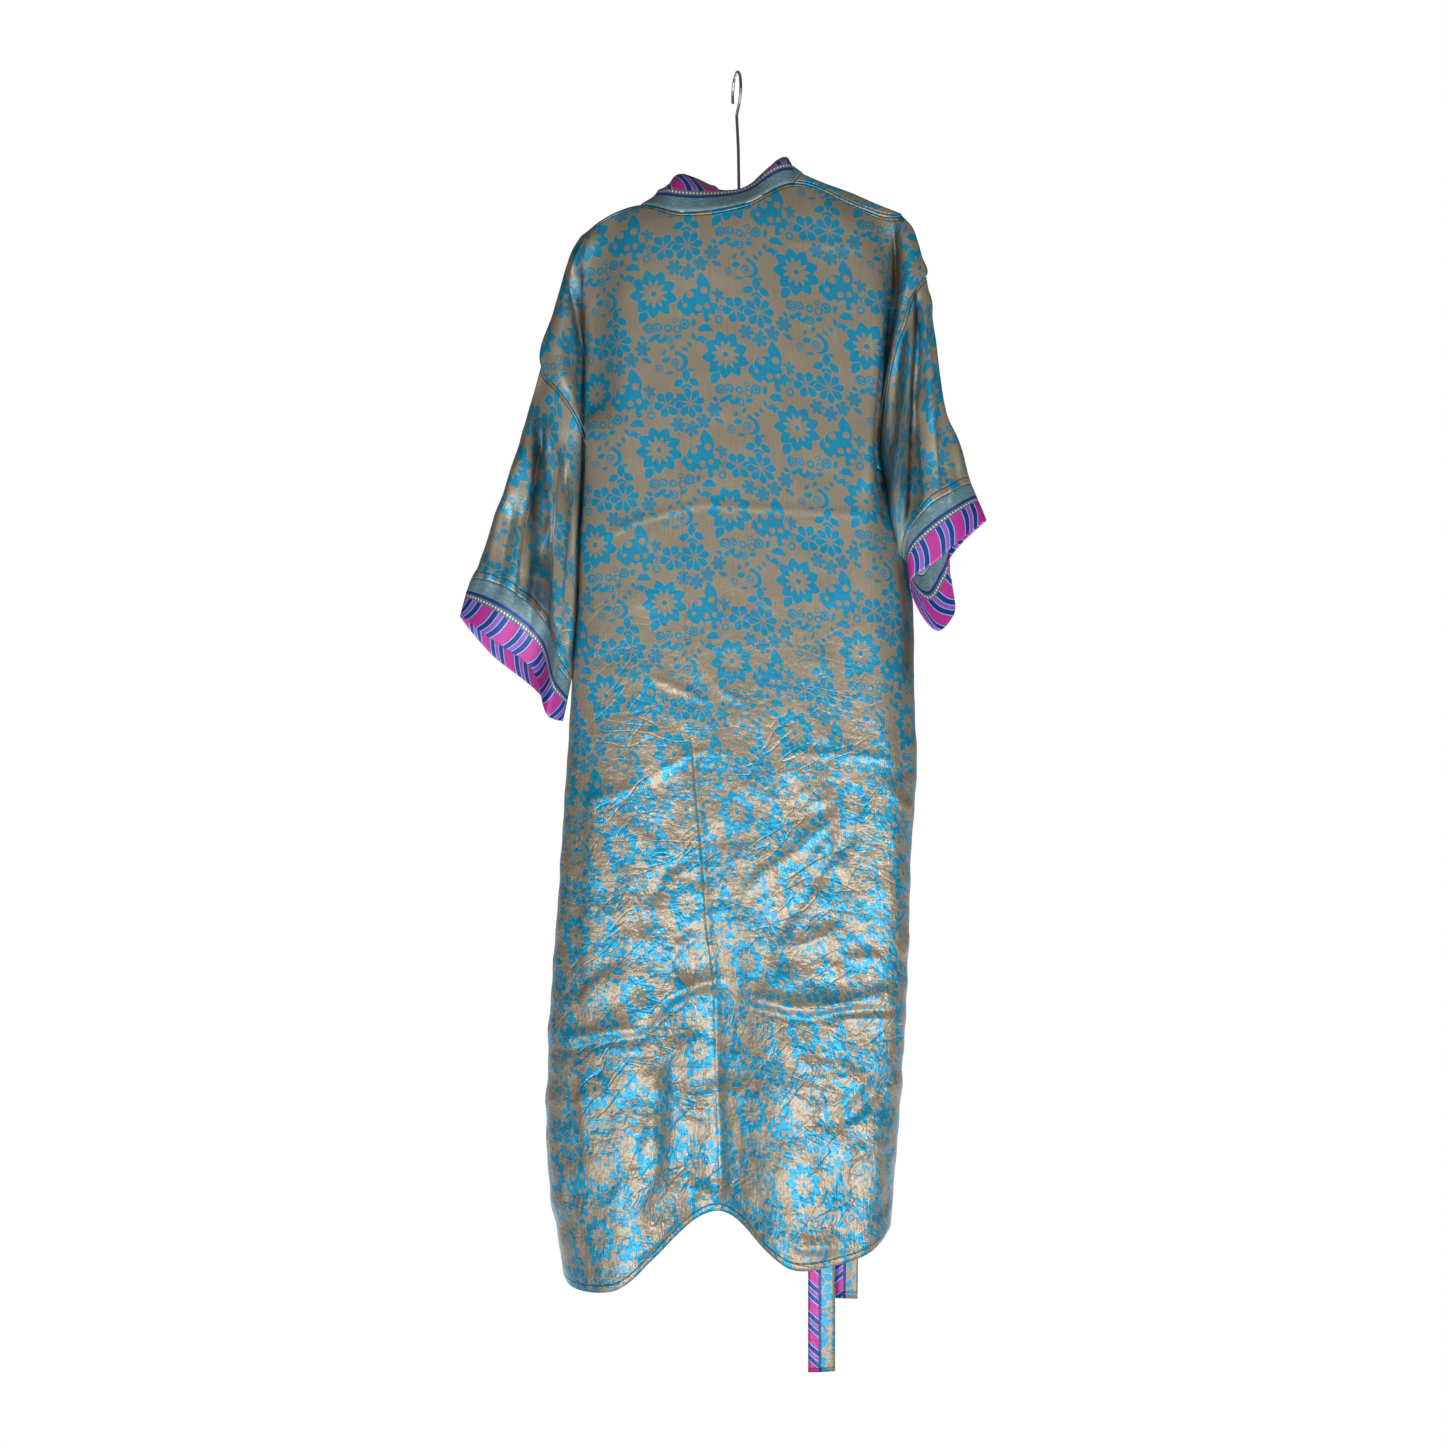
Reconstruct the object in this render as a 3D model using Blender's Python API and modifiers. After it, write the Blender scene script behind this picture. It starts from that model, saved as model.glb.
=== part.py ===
"""Long satin kimono robe, hung back to the viewer on a plain hanger.

Metres, +Z up. The origin is the inside top of the hanger's hook, where a rod holds it.
The back of the robe faces -Y, and +X is the wearer's right.
The tables below give places in millimetres, one row for each height or section.
"""
import math

import bmesh
import bpy
from mathutils import Vector

MM = 0.001
WALL = 1.2
BAND_WALL = 1.6
BELT_WALL = 1.6
CUFF_DEPTH = 55.0

# Gaps that keep the sewn pieces apart, and where each sleeve's seam starts and ends.
SEAM_GAP = 0.4
ARMHOLE_GAP = 1.7
CUFF_GAP = 3.0
NECK_CORNER = 8.0
ARMHOLE_TOP = {"left": -351, "right": -243}
UNDERARM = {"left": -546, "right": -498}

# How finely the pieces are divided; rows lie closer together at the shoulders.
BACK_ROWS = 30
BACK_COLUMNS = 30
FRONT_ROWS = 24
FRONT_COLUMNS = 12
ROW_CROWD = 1.25
SLEEVE_ROWS = 10
CUFF_ROWS = 3
RING_STEPS = 3
BELT_STEP = 90
HANGER_STEPS = 24
HOOK_STEPS = 18

# Lines down the back panel, each row (x, y, z): from the shoulder or neck seam to the hem.
# Each outer edge is the sleeve's top fold, then the armhole, the underarm and the side seam.
BACK_LEFT_EDGE = (
    (-185, -2.2, -188), (-193, -2.2, -206), (-202, -2.2, -226), (-212, -2.2, -258),
    (-220, -3.2, -286), (-235, -3.2, -350), (-230, -6, -362), (-217, -14, -375),
    (-203, -15, -392), (-191, -10, -410), (-182, 2, -432), (-174, 16, -480),
    (-167, 30, -560), (-178, 40, -690), (-187, 44, -800), (-196, 48, -1000),
    (-200, 52, -1250), (-186, 54, -1436),
)
BACK_LEFT_FLAP = (
    (-178, -3, -185), (-183, -9, -200), (-196, -12, -228), (-206, -16, -286),
    (-211, -19, -343), (-206, -19, -368), (-194, -13, -392), (-184.5, -5, -412),
    (-179, -1, -436), (-174.5, 6, -480), (-171, 12, -560), (-175, 22, -640),
    (-183, 28, -700), (-200, 31, -790),
    (-214, 28, -991), (-226, 30, -1164), (-226, 32, -1322), (-207, 34, -1440),
)
BACK_LEFT_VALLEY = (
    (-168, -4, -180), (-173, -9, -196), (-187, 3, -228), (-189, 9, -286),
    (-185, 10, -343), (-182, 8, -375), (-179, 2, -400), (-176, -5, -440),
    (-175, -10, -560), (-177, -8, -640), (-182, -7, -700), (-197, -6, -790), (-211, -6, -991),
    (-222, -6, -1164), (-222, -6, -1322), (-203, -6, -1448),
)
BACK_LEFT_CREST = (
    (-116, -4, -158), (-118, -12, -172), (-128, -23, -230), (-136, -30, -343),
    (-132, -35, -480), (-126, -42, -700), (-132, -52, -1000), (-138, -64, -1200),
    (-146, -74, -1462),
)
BACK_CENTRE = (
    (-68, -19, -164), (-70, -22, -178), (-72, -27, -307), (-66, -32, -480),
    (-59, -37, -691), (-47, -40, -886), (-31, -34, -1063), (-26, -24, -1111),
    (-24, -32, -1231), (-20, -26, -1358),
)
BACK_RIGHT_CREST = (
    (10, -21, -154), (14, -24, -168), (32, -29, -230), (48, -34, -400),
    (52, -41, -600), (50, -49, -886), (56, -53, -1063), (66, -68, -1250),
    (70, -78, -1438),
)
BACK_RIGHT_NECK = (
    (66, -8, -133), (74, -14, -152), (96, -21, -230), (116, -28, -400),
    (112, -35, -600), (122, -40, -886), (126, -42, -1063), (126, -52, -1250),
    (118, -60, -1432),
)
BACK_RIGHT_RIDGE = (
    (150, -9, -164), (157, -14, -182), (168, -17, -230), (171, -22, -300),
    (161, -26, -400), (158, -30, -480), (163, -34, -600), (178, -34, -740),
    (190, -30, -886), (186, -30, -1063), (176, -36, -1250), (158, -40, -1424),
)
BACK_RIGHT_VALLEY = (
    (182, -7, -173), (185, -7, -188), (185, 4, -214), (182, 10, -260),
    (178, 10, -310), (171, 7, -380), (167, 0, -460), (170, -4, -530),
    (180, -4, -600), (196, -3, -680), (204, -2, -740), (212, 4, -886), (206, 6, -1063), (196, 6, -1250),
    (184, 4, -1394),
)
BACK_RIGHT_FLAP = (
    (192, -6, -173), (203, -9, -196), (208, -12, -225), (206, -15, -250),
    (196, -11, -285), (186.5, -3, -322), (177, 5, -372), (174, 11, -460),
    (178, 16, -530), (187, 20, -600), (201, 21, -680), (207, 22, -740), (213, 24, -886), (207, 26, -1063),
    (197, 28, -1250), (186, 28, -1396),
)
BACK_RIGHT_EDGE = (
    (201, -2, -171), (214, -2.2, -194), (222, -2.2, -218), (228, -2.2, -242),
    (219, -7, -252), (208, -12, -270), (199, -12, -296), (189, -5, -324),
    (180, 6, -372), (175, 16, -430), (171, 29, -520), (166, 46, -620),
    (156, 56, -700), (152, 60, -800), (146, 62, -940), (140, 64, -1100),
    (136, 66, -1250), (132, 64, -1400),
)

# Lines down each front panel. The left starts at the shoulder seam, the right over the
# hanger's arm, because its seam lies on the back.
FRONT_LEFT_OPENING = (
    (-116, 3, -159), (-118, 12, -176), (-118, 24, -300), (-118, 34, -600),
    (-117, 42, -1000), (-118, 46, -1402),
)
FRONT_LEFT_FOLD_A = (
    (-140, 3, -168), (-138, 16, -192), (-134, 34, -330), (-134, 48, -600),
    (-133, 62, -1000), (-134, 68, -1408),
)
FRONT_LEFT_FOLD_B = (
    (-158, 2, -176), (-158, 14, -200), (-154, 24, -330), (-150, 34, -600),
    (-152, 44, -1000), (-152, 46, -1414),
)
FRONT_LEFT_FOLD_C = (
    (-174, 2, -184), (-176, 12, -206), (-178, 26, -330), (-170, 44, -560),
    (-172, 56, -720), (-176, 64, -1000), (-168, 68, -1424),
)
FRONT_LEFT_EDGE = (
    (-185, 2.2, -188), (-193, 2.2, -206), (-202, 2.2, -226), (-212, 2.2, -258),
    (-220, 3.2, -286), (-235, 3.2, -350), (-230, 8, -364), (-219, 15, -378),
    (-208, 20, -396), (-198, 26, -416), (-188, 34, -452), (-178, 38, -500),
    (-169, 34, -558), (-178.5, 42.5, -690), (-187.5, 46.5, -800),
    (-196.5, 50.5, -1000), (-200.5, 54.5, -1250), (-186.5, 56.5, -1436),
)
FRONT_RIGHT_OPENING = (
    (79, 4, -123), (80, 12, -134), (80, 24, -300), (78, 34, -600),
    (77, 42, -1000), (78, 46, -1396),
)
FRONT_RIGHT_FOLD_A = (
    (98, 4, -131), (99, 14, -146), (97, 36, -330), (94, 46, -600),
    (93, 54, -1000), (94, 58, -1398),
)
FRONT_RIGHT_FOLD_B = (
    (140, 4, -147), (139, 14, -164), (122, 24, -330), (110, 30, -600),
    (108, 38, -1000), (107, 42, -1398),
)
FRONT_RIGHT_FOLD_C = (
    (178, 4, -163), (178, 13, -184), (158, 36, -330), (142, 50, -520),
    (126, 58, -760), (122, 62, -1000), (118, 64, -1402),
)
FRONT_RIGHT_EDGE = (
    (202, 2.2, -171), (214, 2.2, -194), (222, 2.2, -218), (228, 2.2, -242),
    (221, 9, -254), (211, 15, -272), (202, 21, -300), (192, 28, -340),
    (182, 36, -400), (176, 41, -460), (171, 35, -518), (164, 47, -620),
    (154, 56.5, -700), (150, 60.5, -800), (144, 62.5, -940), (138, 64.5, -1100),
    (134, 66.5, -1250), (130, 64.5, -1400),
)

# Rings of the sleeves: (x, y, z) of the top fold, near layer, inner fold and far layer.
SLEEVE_LEFT_RINGS = (
    ((-257, 0, -430), (-234, -20, -448), (-211, -8, -476), (-194, -12, -520),
     (-188, 12, -582), (-194, 28, -540), (-212, 28, -490), (-240, 18, -446)),
    ((-278, 0, -502), (-248, -22, -520), (-219, -6, -550), (-203, -20, -592),
     (-191, 4, -640), (-198, 24, -616), (-222, 26, -570), (-256, 18, -520)),
    ((-300, 0, -574), (-262, -24, -592), (-225, -4, -628), (-208, -26, -664),
     (-196, -2, -700), (-204, 18, -688), (-228, 24, -650), (-272, 18, -598)),
    ((-319, 0, -606), (-276, -24, -616), (-228, -2, -660), (-211, -28, -708),
     (-199, -4, -734), (-208, 14, -730), (-232, 22, -692), (-286, 18, -634)),
)
CUFF_LEFT_END = (
    (-332, 0, -650), (-296, -22, -676), (-246, 0, -714), (-222, -28, -772),
    (-208, -6, -776), (-214, 10, -772), (-240, 20, -742), (-300, 18, -692),
)
SLEEVE_RIGHT_RINGS = (
    ((236, 0, -300), (222, -20, -318), (206, -12, -352), (188, -4, -420),
     (184, 22, -524), (193, 33, -462), (211, 31, -388), (228, 20, -320)),
    ((248, 0, -390), (230, -22, -402), (212, -4, -424), (192, -14, -468),
     (187, 10, -548), (198, 24, -510), (216, 28, -450), (236, 18, -404)),
    ((266, 0, -450), (242, -22, -464), (218, -8, -486), (198, -14, -520),
     (196, 6, -578), (210, 18, -560), (230, 24, -520), (252, 18, -470)),
    ((282, 0, -492), (253, -20, -504), (226, -20, -522), (203, -12, -556),
     (207, 2, -592), (222, 12, -600), (242, 20, -570), (265, 18, -530)),
)
CUFF_RIGHT_END = (
    (300, 0, -535), (268, -20, -551), (234, -22, -580), (210, -14, -606),
    (225, -2, -638), (246, 6, -671), (262, 16, -648), (283, 18, -592),
)

# How the neck band leans round the neck: share of the way from the left front to the right,
# inward direction in plan from +X, and the lean of its lower and upper half from upright.
BAND_LEAN = (
    (0.00, 0, 90, 90), (0.12, 6, 86, 88), (0.204, 16, 82, 84), (0.233, 23, 77, 80),
    (0.261, 32, 70, 73), (0.284, 43, 63, 67), (0.306, 49, 56, 61), (0.323, 51, 47, 53),
    (0.339, 57, 40, 48), (0.354, 64, 34, 46), (0.369, 72, 28, 46), (0.384, 78, 24, 50),
    (0.398, 83, 18, 58), (0.421, 88, 11, 84), (0.443, 90, 7, 122), (0.466, 90, 4, 154),
    (0.489, 90, 4, 166), (0.535, 90, 4, 166), (0.551, 90, 5, 120), (0.569, 91, 10, 74),
    (0.587, 92, 14, 60), (0.605, 93, 18, 50), (0.624, 99, 26, 42), (0.642, 109, 36, 42),
    (0.671, 124, 54, 58), (0.707, 144, 62, 66), (0.731, 153, 69, 73), (0.761, 158, 76, 79),
    (0.80, 168, 83, 84), (0.88, 176, 88, 88), (1.00, 180, 90, 90),
)
BAND_ACROSS = (0.0, 11.0, 21.0, 26.0, 31.0, 42.0, 55.0)
BAND_BEND_FROM = 21.0
BAND_BEND_TO = 31.0
NECK_FOOT = -300.0

# The belt hangs doubled on its loop: (x, y, z, width, turn in degrees) down each half.
BELT_ROWS = (
    (104, 86, -1558, 34, 8), (104, 85, -1440, 34, 6), (107, 84, -1200, 34, 4),
    (112, 82, -950, 32, 8), (117, 80, -740, 28, 6), (119, 82, -694, 24, 3),
    (119, 83.3, -681, 22, 0), (119, 84, -677.6, 22, 0), (119, 86, -676.2, 22, 0),
    (119, 88, -677.6, 22, 0), (119, 88.7, -681, 22, 0), (120, 90, -694, 24, 3),
    (125, 95, -740, 28, 4), (130, 98, -950, 30, 4),
    (131, 98, -1200, 32, -4), (130, 98, -1400, 32, -8), (129, 98, -1468, 32, -8),
)
BELT_LOOP_RIGHT = (
    (158, 52.4, -646), (149, 66, -650), (126, 90, -656), (104, 94, -663), (99, 88, -672),
    (105, 86, -678.7), (112, 86, -679), (128, 86, -679), (136, 85.6, -679.6),
    (146, 76, -685), (155, 56.9, -696),
)
BELT_LOOP_LEFT = (
    (-175.2, 40.7, -648), (-181, 52, -653), (-180, 62, -672), (-182, 54, -690),
    (-179.6, 43.7, -696),
)
LOOP_RADIUS = 1.3

# The hanger's arms: (x, z, height) along the top line, from the left tip to the right.
HANGER_ROWS = (
    (-179.4, -193.7, 7), (-150, -184, 10), (-100, -172, 14), (-50, -164, 17),
    (5, -159, 20), (50, -157, 18), (98, -157, 15), (140, -161, 12), (180, -170, 9),
    (193.6, -175.8, 7),
)
HANGER_THICK = 7.2
HANGER_ROUND = 1.6
HOOK_WIRE = 1.8
HOOK_RADIUS = 21.0
HOOK_TURN = math.radians(-78)
HOOK_START = math.radians(-50)
HOOK_END = math.radians(205)
HOOK_STEM = ((3, 0, -158.6), (2, 0, -90), (0, 0, -50))


def smooth_through(keys, places, at):
    """Return the value at a place on a smooth curve through keys set at rising places."""
    index = 0
    while index < len(places) - 2 and at > places[index + 1]:
        index += 1
    steps = [b - a for a, b in zip(places, places[1:])]
    slopes = [(b - a) / step for a, b, step in zip(keys, keys[1:], steps)]

    def tangent(spot):
        if spot == 0:
            return slopes[0]
        if spot == len(slopes):
            return slopes[-1]
        before = steps[spot - 1]
        after = steps[spot]
        return (slopes[spot - 1] * after + slopes[spot] * before) / (before + after)

    step = steps[index]
    local = min(max((at - places[index]) / step, 0.0), 1.0)
    square = local * local
    cube = square * local
    return (
        keys[index] * (2 * cube - 3 * square + 1)
        + tangent(index) * (step * (cube - 2 * square + local))
        + keys[index + 1] * (3 * square - 2 * cube)
        + tangent(index + 1) * (step * (cube - square))
    )


def down_line(line, share):
    """Return the point of a line at a share of its drop from the first row to the last."""
    drops = [line[0][2] - row[2] for row in line]
    return smooth_through([Vector(row) for row in line], drops, share * drops[-1])


def across(keys, columns):
    """Return evenly counted points between each two keys of a row, on a smooth curve."""
    places = [0.0]
    for a, b in zip(keys, keys[1:]):
        places.append(places[-1] + (b - a).length)
    per_span = columns // (len(keys) - 1)
    row = []
    for start, end in zip(places, places[1:]):
        for step in range(per_span):
            row.append(smooth_through(keys, places, start + (end - start) * step / per_span))
    row.append(keys[-1].copy())
    return row


def row_shares(rows, crowd):
    """Return the shares of the drop for each row, closer together at the top."""
    return [(row / rows) ** crowd for row in range(rows + 1)]


def panel_grid(lines, shares, columns):
    """Return rows of points across a panel, smooth through its lines."""
    return [across([down_line(line, share) for line in lines], columns) for share in shares]


def sheet_object(name, grid, closed, material, wall=WALL, inward=-1.0):
    """Make one cloth piece from a grid of points, with Solidify for its wall."""
    mesh = bpy.data.meshes.new(name)
    work = bmesh.new()
    rows = [[work.verts.new(point * MM) for point in row] for row in grid]
    count = len(rows[0])
    spans = count if closed else count - 1
    for upper, lower in zip(rows, rows[1:]):
        for column in range(spans):
            right = (column + 1) % count
            work.faces.new((upper[column], lower[column], lower[right], upper[right]))
    bmesh.ops.triangulate(work, faces=work.faces[:])
    work.to_mesh(mesh)
    work.free()
    mesh.shade_smooth()
    piece = bpy.data.objects.new(name, mesh)
    collection.objects.link(piece)
    mesh.materials.append(material)
    solid = piece.modifiers.new("Cloth wall", "SOLIDIFY")
    solid.thickness = wall * MM
    solid.offset = inward
    solid.use_even_offset = False
    return piece


def make_material(name, colour, roughness, metallic=0.0):
    """Return a Principled material of one colour."""
    material = bpy.data.materials.new(name)
    material.use_nodes = True
    shader = material.node_tree.nodes["Principled BSDF"]
    shader.inputs["Base Color"].default_value = (*colour, 1.0)
    shader.inputs["Roughness"].default_value = roughness
    shader.inputs["Metallic"].default_value = metallic
    material.diffuse_color = (*colour, 1.0)
    return material


def make_back():
    """The back, cut in one piece, with the drop of each shoulder beyond the hanger."""
    lines = (
        BACK_LEFT_EDGE, BACK_LEFT_FLAP, BACK_LEFT_VALLEY, BACK_LEFT_CREST, BACK_CENTRE,
        BACK_RIGHT_CREST, BACK_RIGHT_NECK, BACK_RIGHT_RIDGE, BACK_RIGHT_VALLEY,
        BACK_RIGHT_FLAP, BACK_RIGHT_EDGE,
    )
    grid = panel_grid(lines, row_shares(BACK_ROWS, ROW_CROWD), BACK_COLUMNS)
    sheet_object("back", grid, False, cloth)
    return grid


def top_edge_at(edge, x):
    """Return the point of the back's top edge that lies at x, right of the neck."""
    for a, b in zip(edge, edge[1:]):
        if a.x <= x <= b.x and b.x > 0:
            return a.lerp(b, (x - a.x) / (b.x - a.x))
    return edge[-1].copy()


def make_fronts(back_grid):
    """The two fronts, sewn to the back at the shoulders and sides."""
    shares = row_shares(FRONT_ROWS, ROW_CROWD)
    left = (
        FRONT_LEFT_OPENING, FRONT_LEFT_FOLD_A, FRONT_LEFT_FOLD_B, FRONT_LEFT_FOLD_C,
        FRONT_LEFT_EDGE,
    )
    left_grid = panel_grid(left, shares, FRONT_COLUMNS)
    sheet_object("front_left", left_grid, False, cloth)
    right = (
        FRONT_RIGHT_EDGE, FRONT_RIGHT_FOLD_C, FRONT_RIGHT_FOLD_B, FRONT_RIGHT_FOLD_A,
        FRONT_RIGHT_OPENING,
    )
    right_grid = panel_grid(right, shares, FRONT_COLUMNS)
    seam = []
    crown = []
    for column, point in enumerate(right_grid[0]):
        aside = 3 + NECK_CORNER * (column / FRONT_COLUMNS) ** 3
        foot = top_edge_at(back_grid[0], min(point.x, BACK_RIGHT_EDGE[0][0]) - aside)
        foot.z += 3 * SEAM_GAP
        seam.append(foot)
        crown.append(Vector((point.x - 1, -1.5, point.z + 3)))
    sheet_object("front_right", [seam, crown] + right_grid, False, cloth)
    return left_grid, [seam, crown] + right_grid


def closed_ring(keys, per_span):
    """Return points round a closed ring, smooth through its keys."""
    wrapped = [keys[-2], keys[-1]] + list(keys) + [keys[0], keys[1]]
    row = across(wrapped, per_span * (len(wrapped) - 1))
    return row[2 * per_span:(2 + len(keys)) * per_span]


def edge_at(line, height):
    """Return the point of a panel's edge line at a height."""
    return down_line(line, (line[0][2] - height) / (line[0][2] - line[-1][2]))


def along_edge(line, top, foot, count):
    """Return evenly spaced points on an edge line between two heights."""
    fine = [edge_at(line, top + (foot - top) * step / 60) for step in range(61)]
    lengths = [0.0]
    for a, b in zip(fine, fine[1:]):
        lengths.append(lengths[-1] + (b - a).length)
    return [smooth_through(fine, lengths, lengths[-1] * k / count) for k in range(count + 1)]


def make_sleeve(side, rings, cuff_end, back_edge, front_edge):
    """A sleeve and its cuff, hanging flat from the armhole, with both ends open."""
    sign = -1 if side == "left" else 1
    shift = Vector((sign * ARMHOLE_GAP, 0, -ARMHOLE_GAP))
    half = 4 * RING_STEPS
    near = along_edge(back_edge, ARMHOLE_TOP[side], UNDERARM[side], half)
    far = along_edge(front_edge, ARMHOLE_TOP[side], UNDERARM[side], half)
    top = near[0].lerp(far[0], 0.5)
    bottom = near[-1].lerp(far[-1], 0.5) + Vector((sign * 2, 0, -3))
    armhole = [top] + near[1:half] + [bottom] + far[half - 1:0:-1]
    keys = [[point + shift for point in armhole]]
    keys += [closed_ring([Vector(point) for point in ring], RING_STEPS) for ring in rings]
    keys.append(closed_ring([Vector(point) for point in cuff_end], RING_STEPS))
    count = len(keys) - 1
    places = list(range(count + 1))

    def ring_at(place):
        ring = [smooth_through([row[k] for row in keys], places, place) for k in range(2 * half)]
        return ring[::-1] if sign > 0 else ring

    rows = [ring_at((count - 1) * row / SLEEVE_ROWS) for row in range(SLEEVE_ROWS + 1)]
    sheet_object("sleeve_" + side, rows, True, cloth)
    gap = CUFF_GAP / CUFF_DEPTH
    rows = [ring_at(count - 1 + gap + (1 - gap) * row / CUFF_ROWS) for row in range(CUFF_ROWS + 1)]
    sheet_object("cuff_" + side, rows, True, border)


def band_profile(foot, share):
    """Return the points across the neck band that stands on its foot."""
    places = [row[0] for row in BAND_LEAN]
    plan, lower, upper = smooth_through(
        [Vector(row[1:]) for row in BAND_LEAN], places, share
    )
    inward = Vector((math.cos(math.radians(plan)), math.sin(math.radians(plan)), 0))
    points = []
    place = foot.copy()
    previous = -SEAM_GAP - WALL * math.sin(2 * math.radians(min(lower, 90)))
    for width in BAND_ACROSS:
        middle = (width + previous) / 2
        bend = min(max((middle - BAND_BEND_FROM) / (BAND_BEND_TO - BAND_BEND_FROM), 0), 1)
        lean = math.radians(lower + (upper - lower) * bend)
        step = inward * math.sin(lean) + Vector((0, 0, math.cos(lean)))
        place = place + step * (width - previous)
        points.append(place)
        previous = width
    return points


def make_neck_band(back_grid, left_grid, right_grid):
    """The band that edges both fronts and stands round the neck, one long strip."""
    per_span = BACK_COLUMNS // 10
    left = [row[0] for row in reversed(left_grid)]
    neck = back_grid[0][3 * per_span + 1:6 * per_span]
    right = [row[-1] for row in right_grid]
    feet = left + neck + right
    path = []
    for a, b in zip(feet, feet[1:]):
        path.append(a)
        if min(a.z, b.z) > NECK_FOOT:
            path.append((a + b) / 2)
    path.append(feet[-1])
    lengths = [0.0]
    for a, b in zip(path, path[1:]):
        reach = (b - a).length if max(a.z, b.z) > NECK_FOOT else 0.0
        lengths.append(lengths[-1] + reach)
    grid = [band_profile(foot, place / lengths[-1]) for foot, place in zip(path, lengths)]
    sheet_object("neck_band", [row[::-1] for row in grid], False, border, BAND_WALL)


def make_belt():
    """The belt, threaded through the right loop so that both halves hang down."""
    keys = [Vector(row[:3]) for row in BELT_ROWS]
    turns = [Vector((row[3], row[4], 0)) for row in BELT_ROWS]
    places = [0.0]
    for a, b in zip(keys, keys[1:]):
        places.append(places[-1] + (b - a).length)
    stations = []
    for start, end in zip(places, places[1:]):
        steps = max(2, round((end - start) / BELT_STEP))
        stations += [start + (end - start) * step / steps for step in range(steps)]
    stations.append(places[-1])
    grid = []
    for station in stations:
        centre = smooth_through(keys, places, station)
        width, turn, _ = smooth_through(turns, places, station)
        aside = Vector((math.cos(math.radians(turn)), math.sin(math.radians(turn)), 0))
        grid.append([centre + aside * width * part for part in (-0.5, 0.0, 0.5)])
    sheet_object("belt", grid, False, border, BELT_WALL, 0.0)


def make_tube(name, points, radius, material):
    """Make a round cord or wire along points as a closed mesh."""
    curve = bpy.data.curves.new(name, "CURVE")
    curve.dimensions = "3D"
    curve.bevel_depth = radius * MM
    curve.bevel_resolution = 2
    curve.use_fill_caps = True
    run = curve.splines.new("POLY")
    run.points.add(len(points) - 1)
    for target, point in zip(run.points, points):
        target.co = (*(Vector(point) * MM), 1.0)
    piece = bpy.data.objects.new(name, curve)
    collection.objects.link(piece)
    curve.materials.append(material)
    weld = piece.modifiers.new("Close the caps", "WELD")
    weld.merge_threshold = 0.00001
    return piece


def make_loops():
    """The two cord loops at the side seams that carry the belt."""
    for name, route in (("loop_right", BELT_LOOP_RIGHT), ("loop_left", BELT_LOOP_LEFT)):
        keys = [Vector(point) for point in route]
        make_tube("belt_" + name, across(keys, 3 * (len(keys) - 1)), LOOP_RADIUS, trim)


def make_hanger():
    """The hanger: one moulded bar with sloping arms and a wire hook."""
    curve = bpy.data.curves.new("hanger_body", "CURVE")
    curve.dimensions = "2D"
    curve.fill_mode = "BOTH"
    curve.extrude = (HANGER_THICK / 2 - HANGER_ROUND) * MM
    curve.bevel_depth = HANGER_ROUND * MM
    curve.bevel_resolution = 1
    places = [row[0] for row in HANGER_ROWS]
    keys = [Vector(row) for row in HANGER_ROWS]
    step = (places[-1] - places[0]) / HANGER_STEPS
    rows = [smooth_through(keys, places, places[0] + step * k) for k in range(HANGER_STEPS + 1)]
    upper = [(row.x, row.y - HANGER_ROUND) for row in rows]
    lower = [(row.x, row.y - row.z + HANGER_ROUND) for row in reversed(rows)]
    outline = upper + lower
    run = curve.splines.new("POLY")
    run.points.add(len(outline) - 1)
    for target, (x, z) in zip(run.points, outline):
        target.co = (x * MM, z * MM, 0.0, 1.0)
    run.use_cyclic_u = True
    flat = bpy.data.objects.new("hanger_flat", curve)
    collection.objects.link(flat)
    flat.rotation_euler = (math.radians(90), 0, 0)
    bpy.context.view_layer.update()
    evaluated = flat.evaluated_get(bpy.context.evaluated_depsgraph_get())
    mesh = bpy.data.meshes.new_from_object(evaluated)
    work = bmesh.new()
    work.from_mesh(mesh)
    bmesh.ops.remove_doubles(work, verts=work.verts[:], dist=0.00001)
    bmesh.ops.recalc_face_normals(work, faces=work.faces[:])
    work.to_mesh(mesh)
    work.free()
    body = bpy.data.objects.new("hanger_body", mesh)
    body.matrix_world = flat.matrix_world.copy()
    collection.objects.link(body)
    mesh.materials.clear()
    mesh.materials.append(moulding)
    bpy.data.objects.remove(flat, do_unlink=True)
    return body


def make_hook():
    """The hook, seen almost edge on, round the rod at the origin."""
    aside = Vector((math.cos(HOOK_TURN), math.sin(HOOK_TURN), 0))
    upright = Vector((0, 0, 1))
    centre = Vector((0, 0, -HOOK_RADIUS))
    ring = HOOK_RADIUS + HOOK_WIRE
    points = [Vector(point) for point in HOOK_STEM]
    for step in range(HOOK_STEPS + 1):
        angle = HOOK_START + (HOOK_END - HOOK_START) * step / HOOK_STEPS
        points.append(centre + ring * (aside * math.cos(angle) + upright * math.sin(angle)))
    make_tube("hanger_hook", points, HOOK_WIRE, steel)


collection = bpy.data.collections.new("Kimono robe on hanger")
bpy.context.scene.collection.children.link(collection)
for leftover in list(bpy.data.objects):
    bpy.data.objects.remove(leftover, do_unlink=True)

cloth = make_material("Printed satin", (0.36, 0.27, 0.21), 0.38)
border = make_material("Woven border", (0.42, 0.05, 0.32), 0.5)
trim = make_material("Loop cord", (0.25, 0.36, 0.37), 0.6)
moulding = make_material("Hanger moulding", (0.8, 0.79, 0.76), 0.4)
steel = make_material("Hook wire", (0.75, 0.75, 0.74), 0.22, 1.0)

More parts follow.
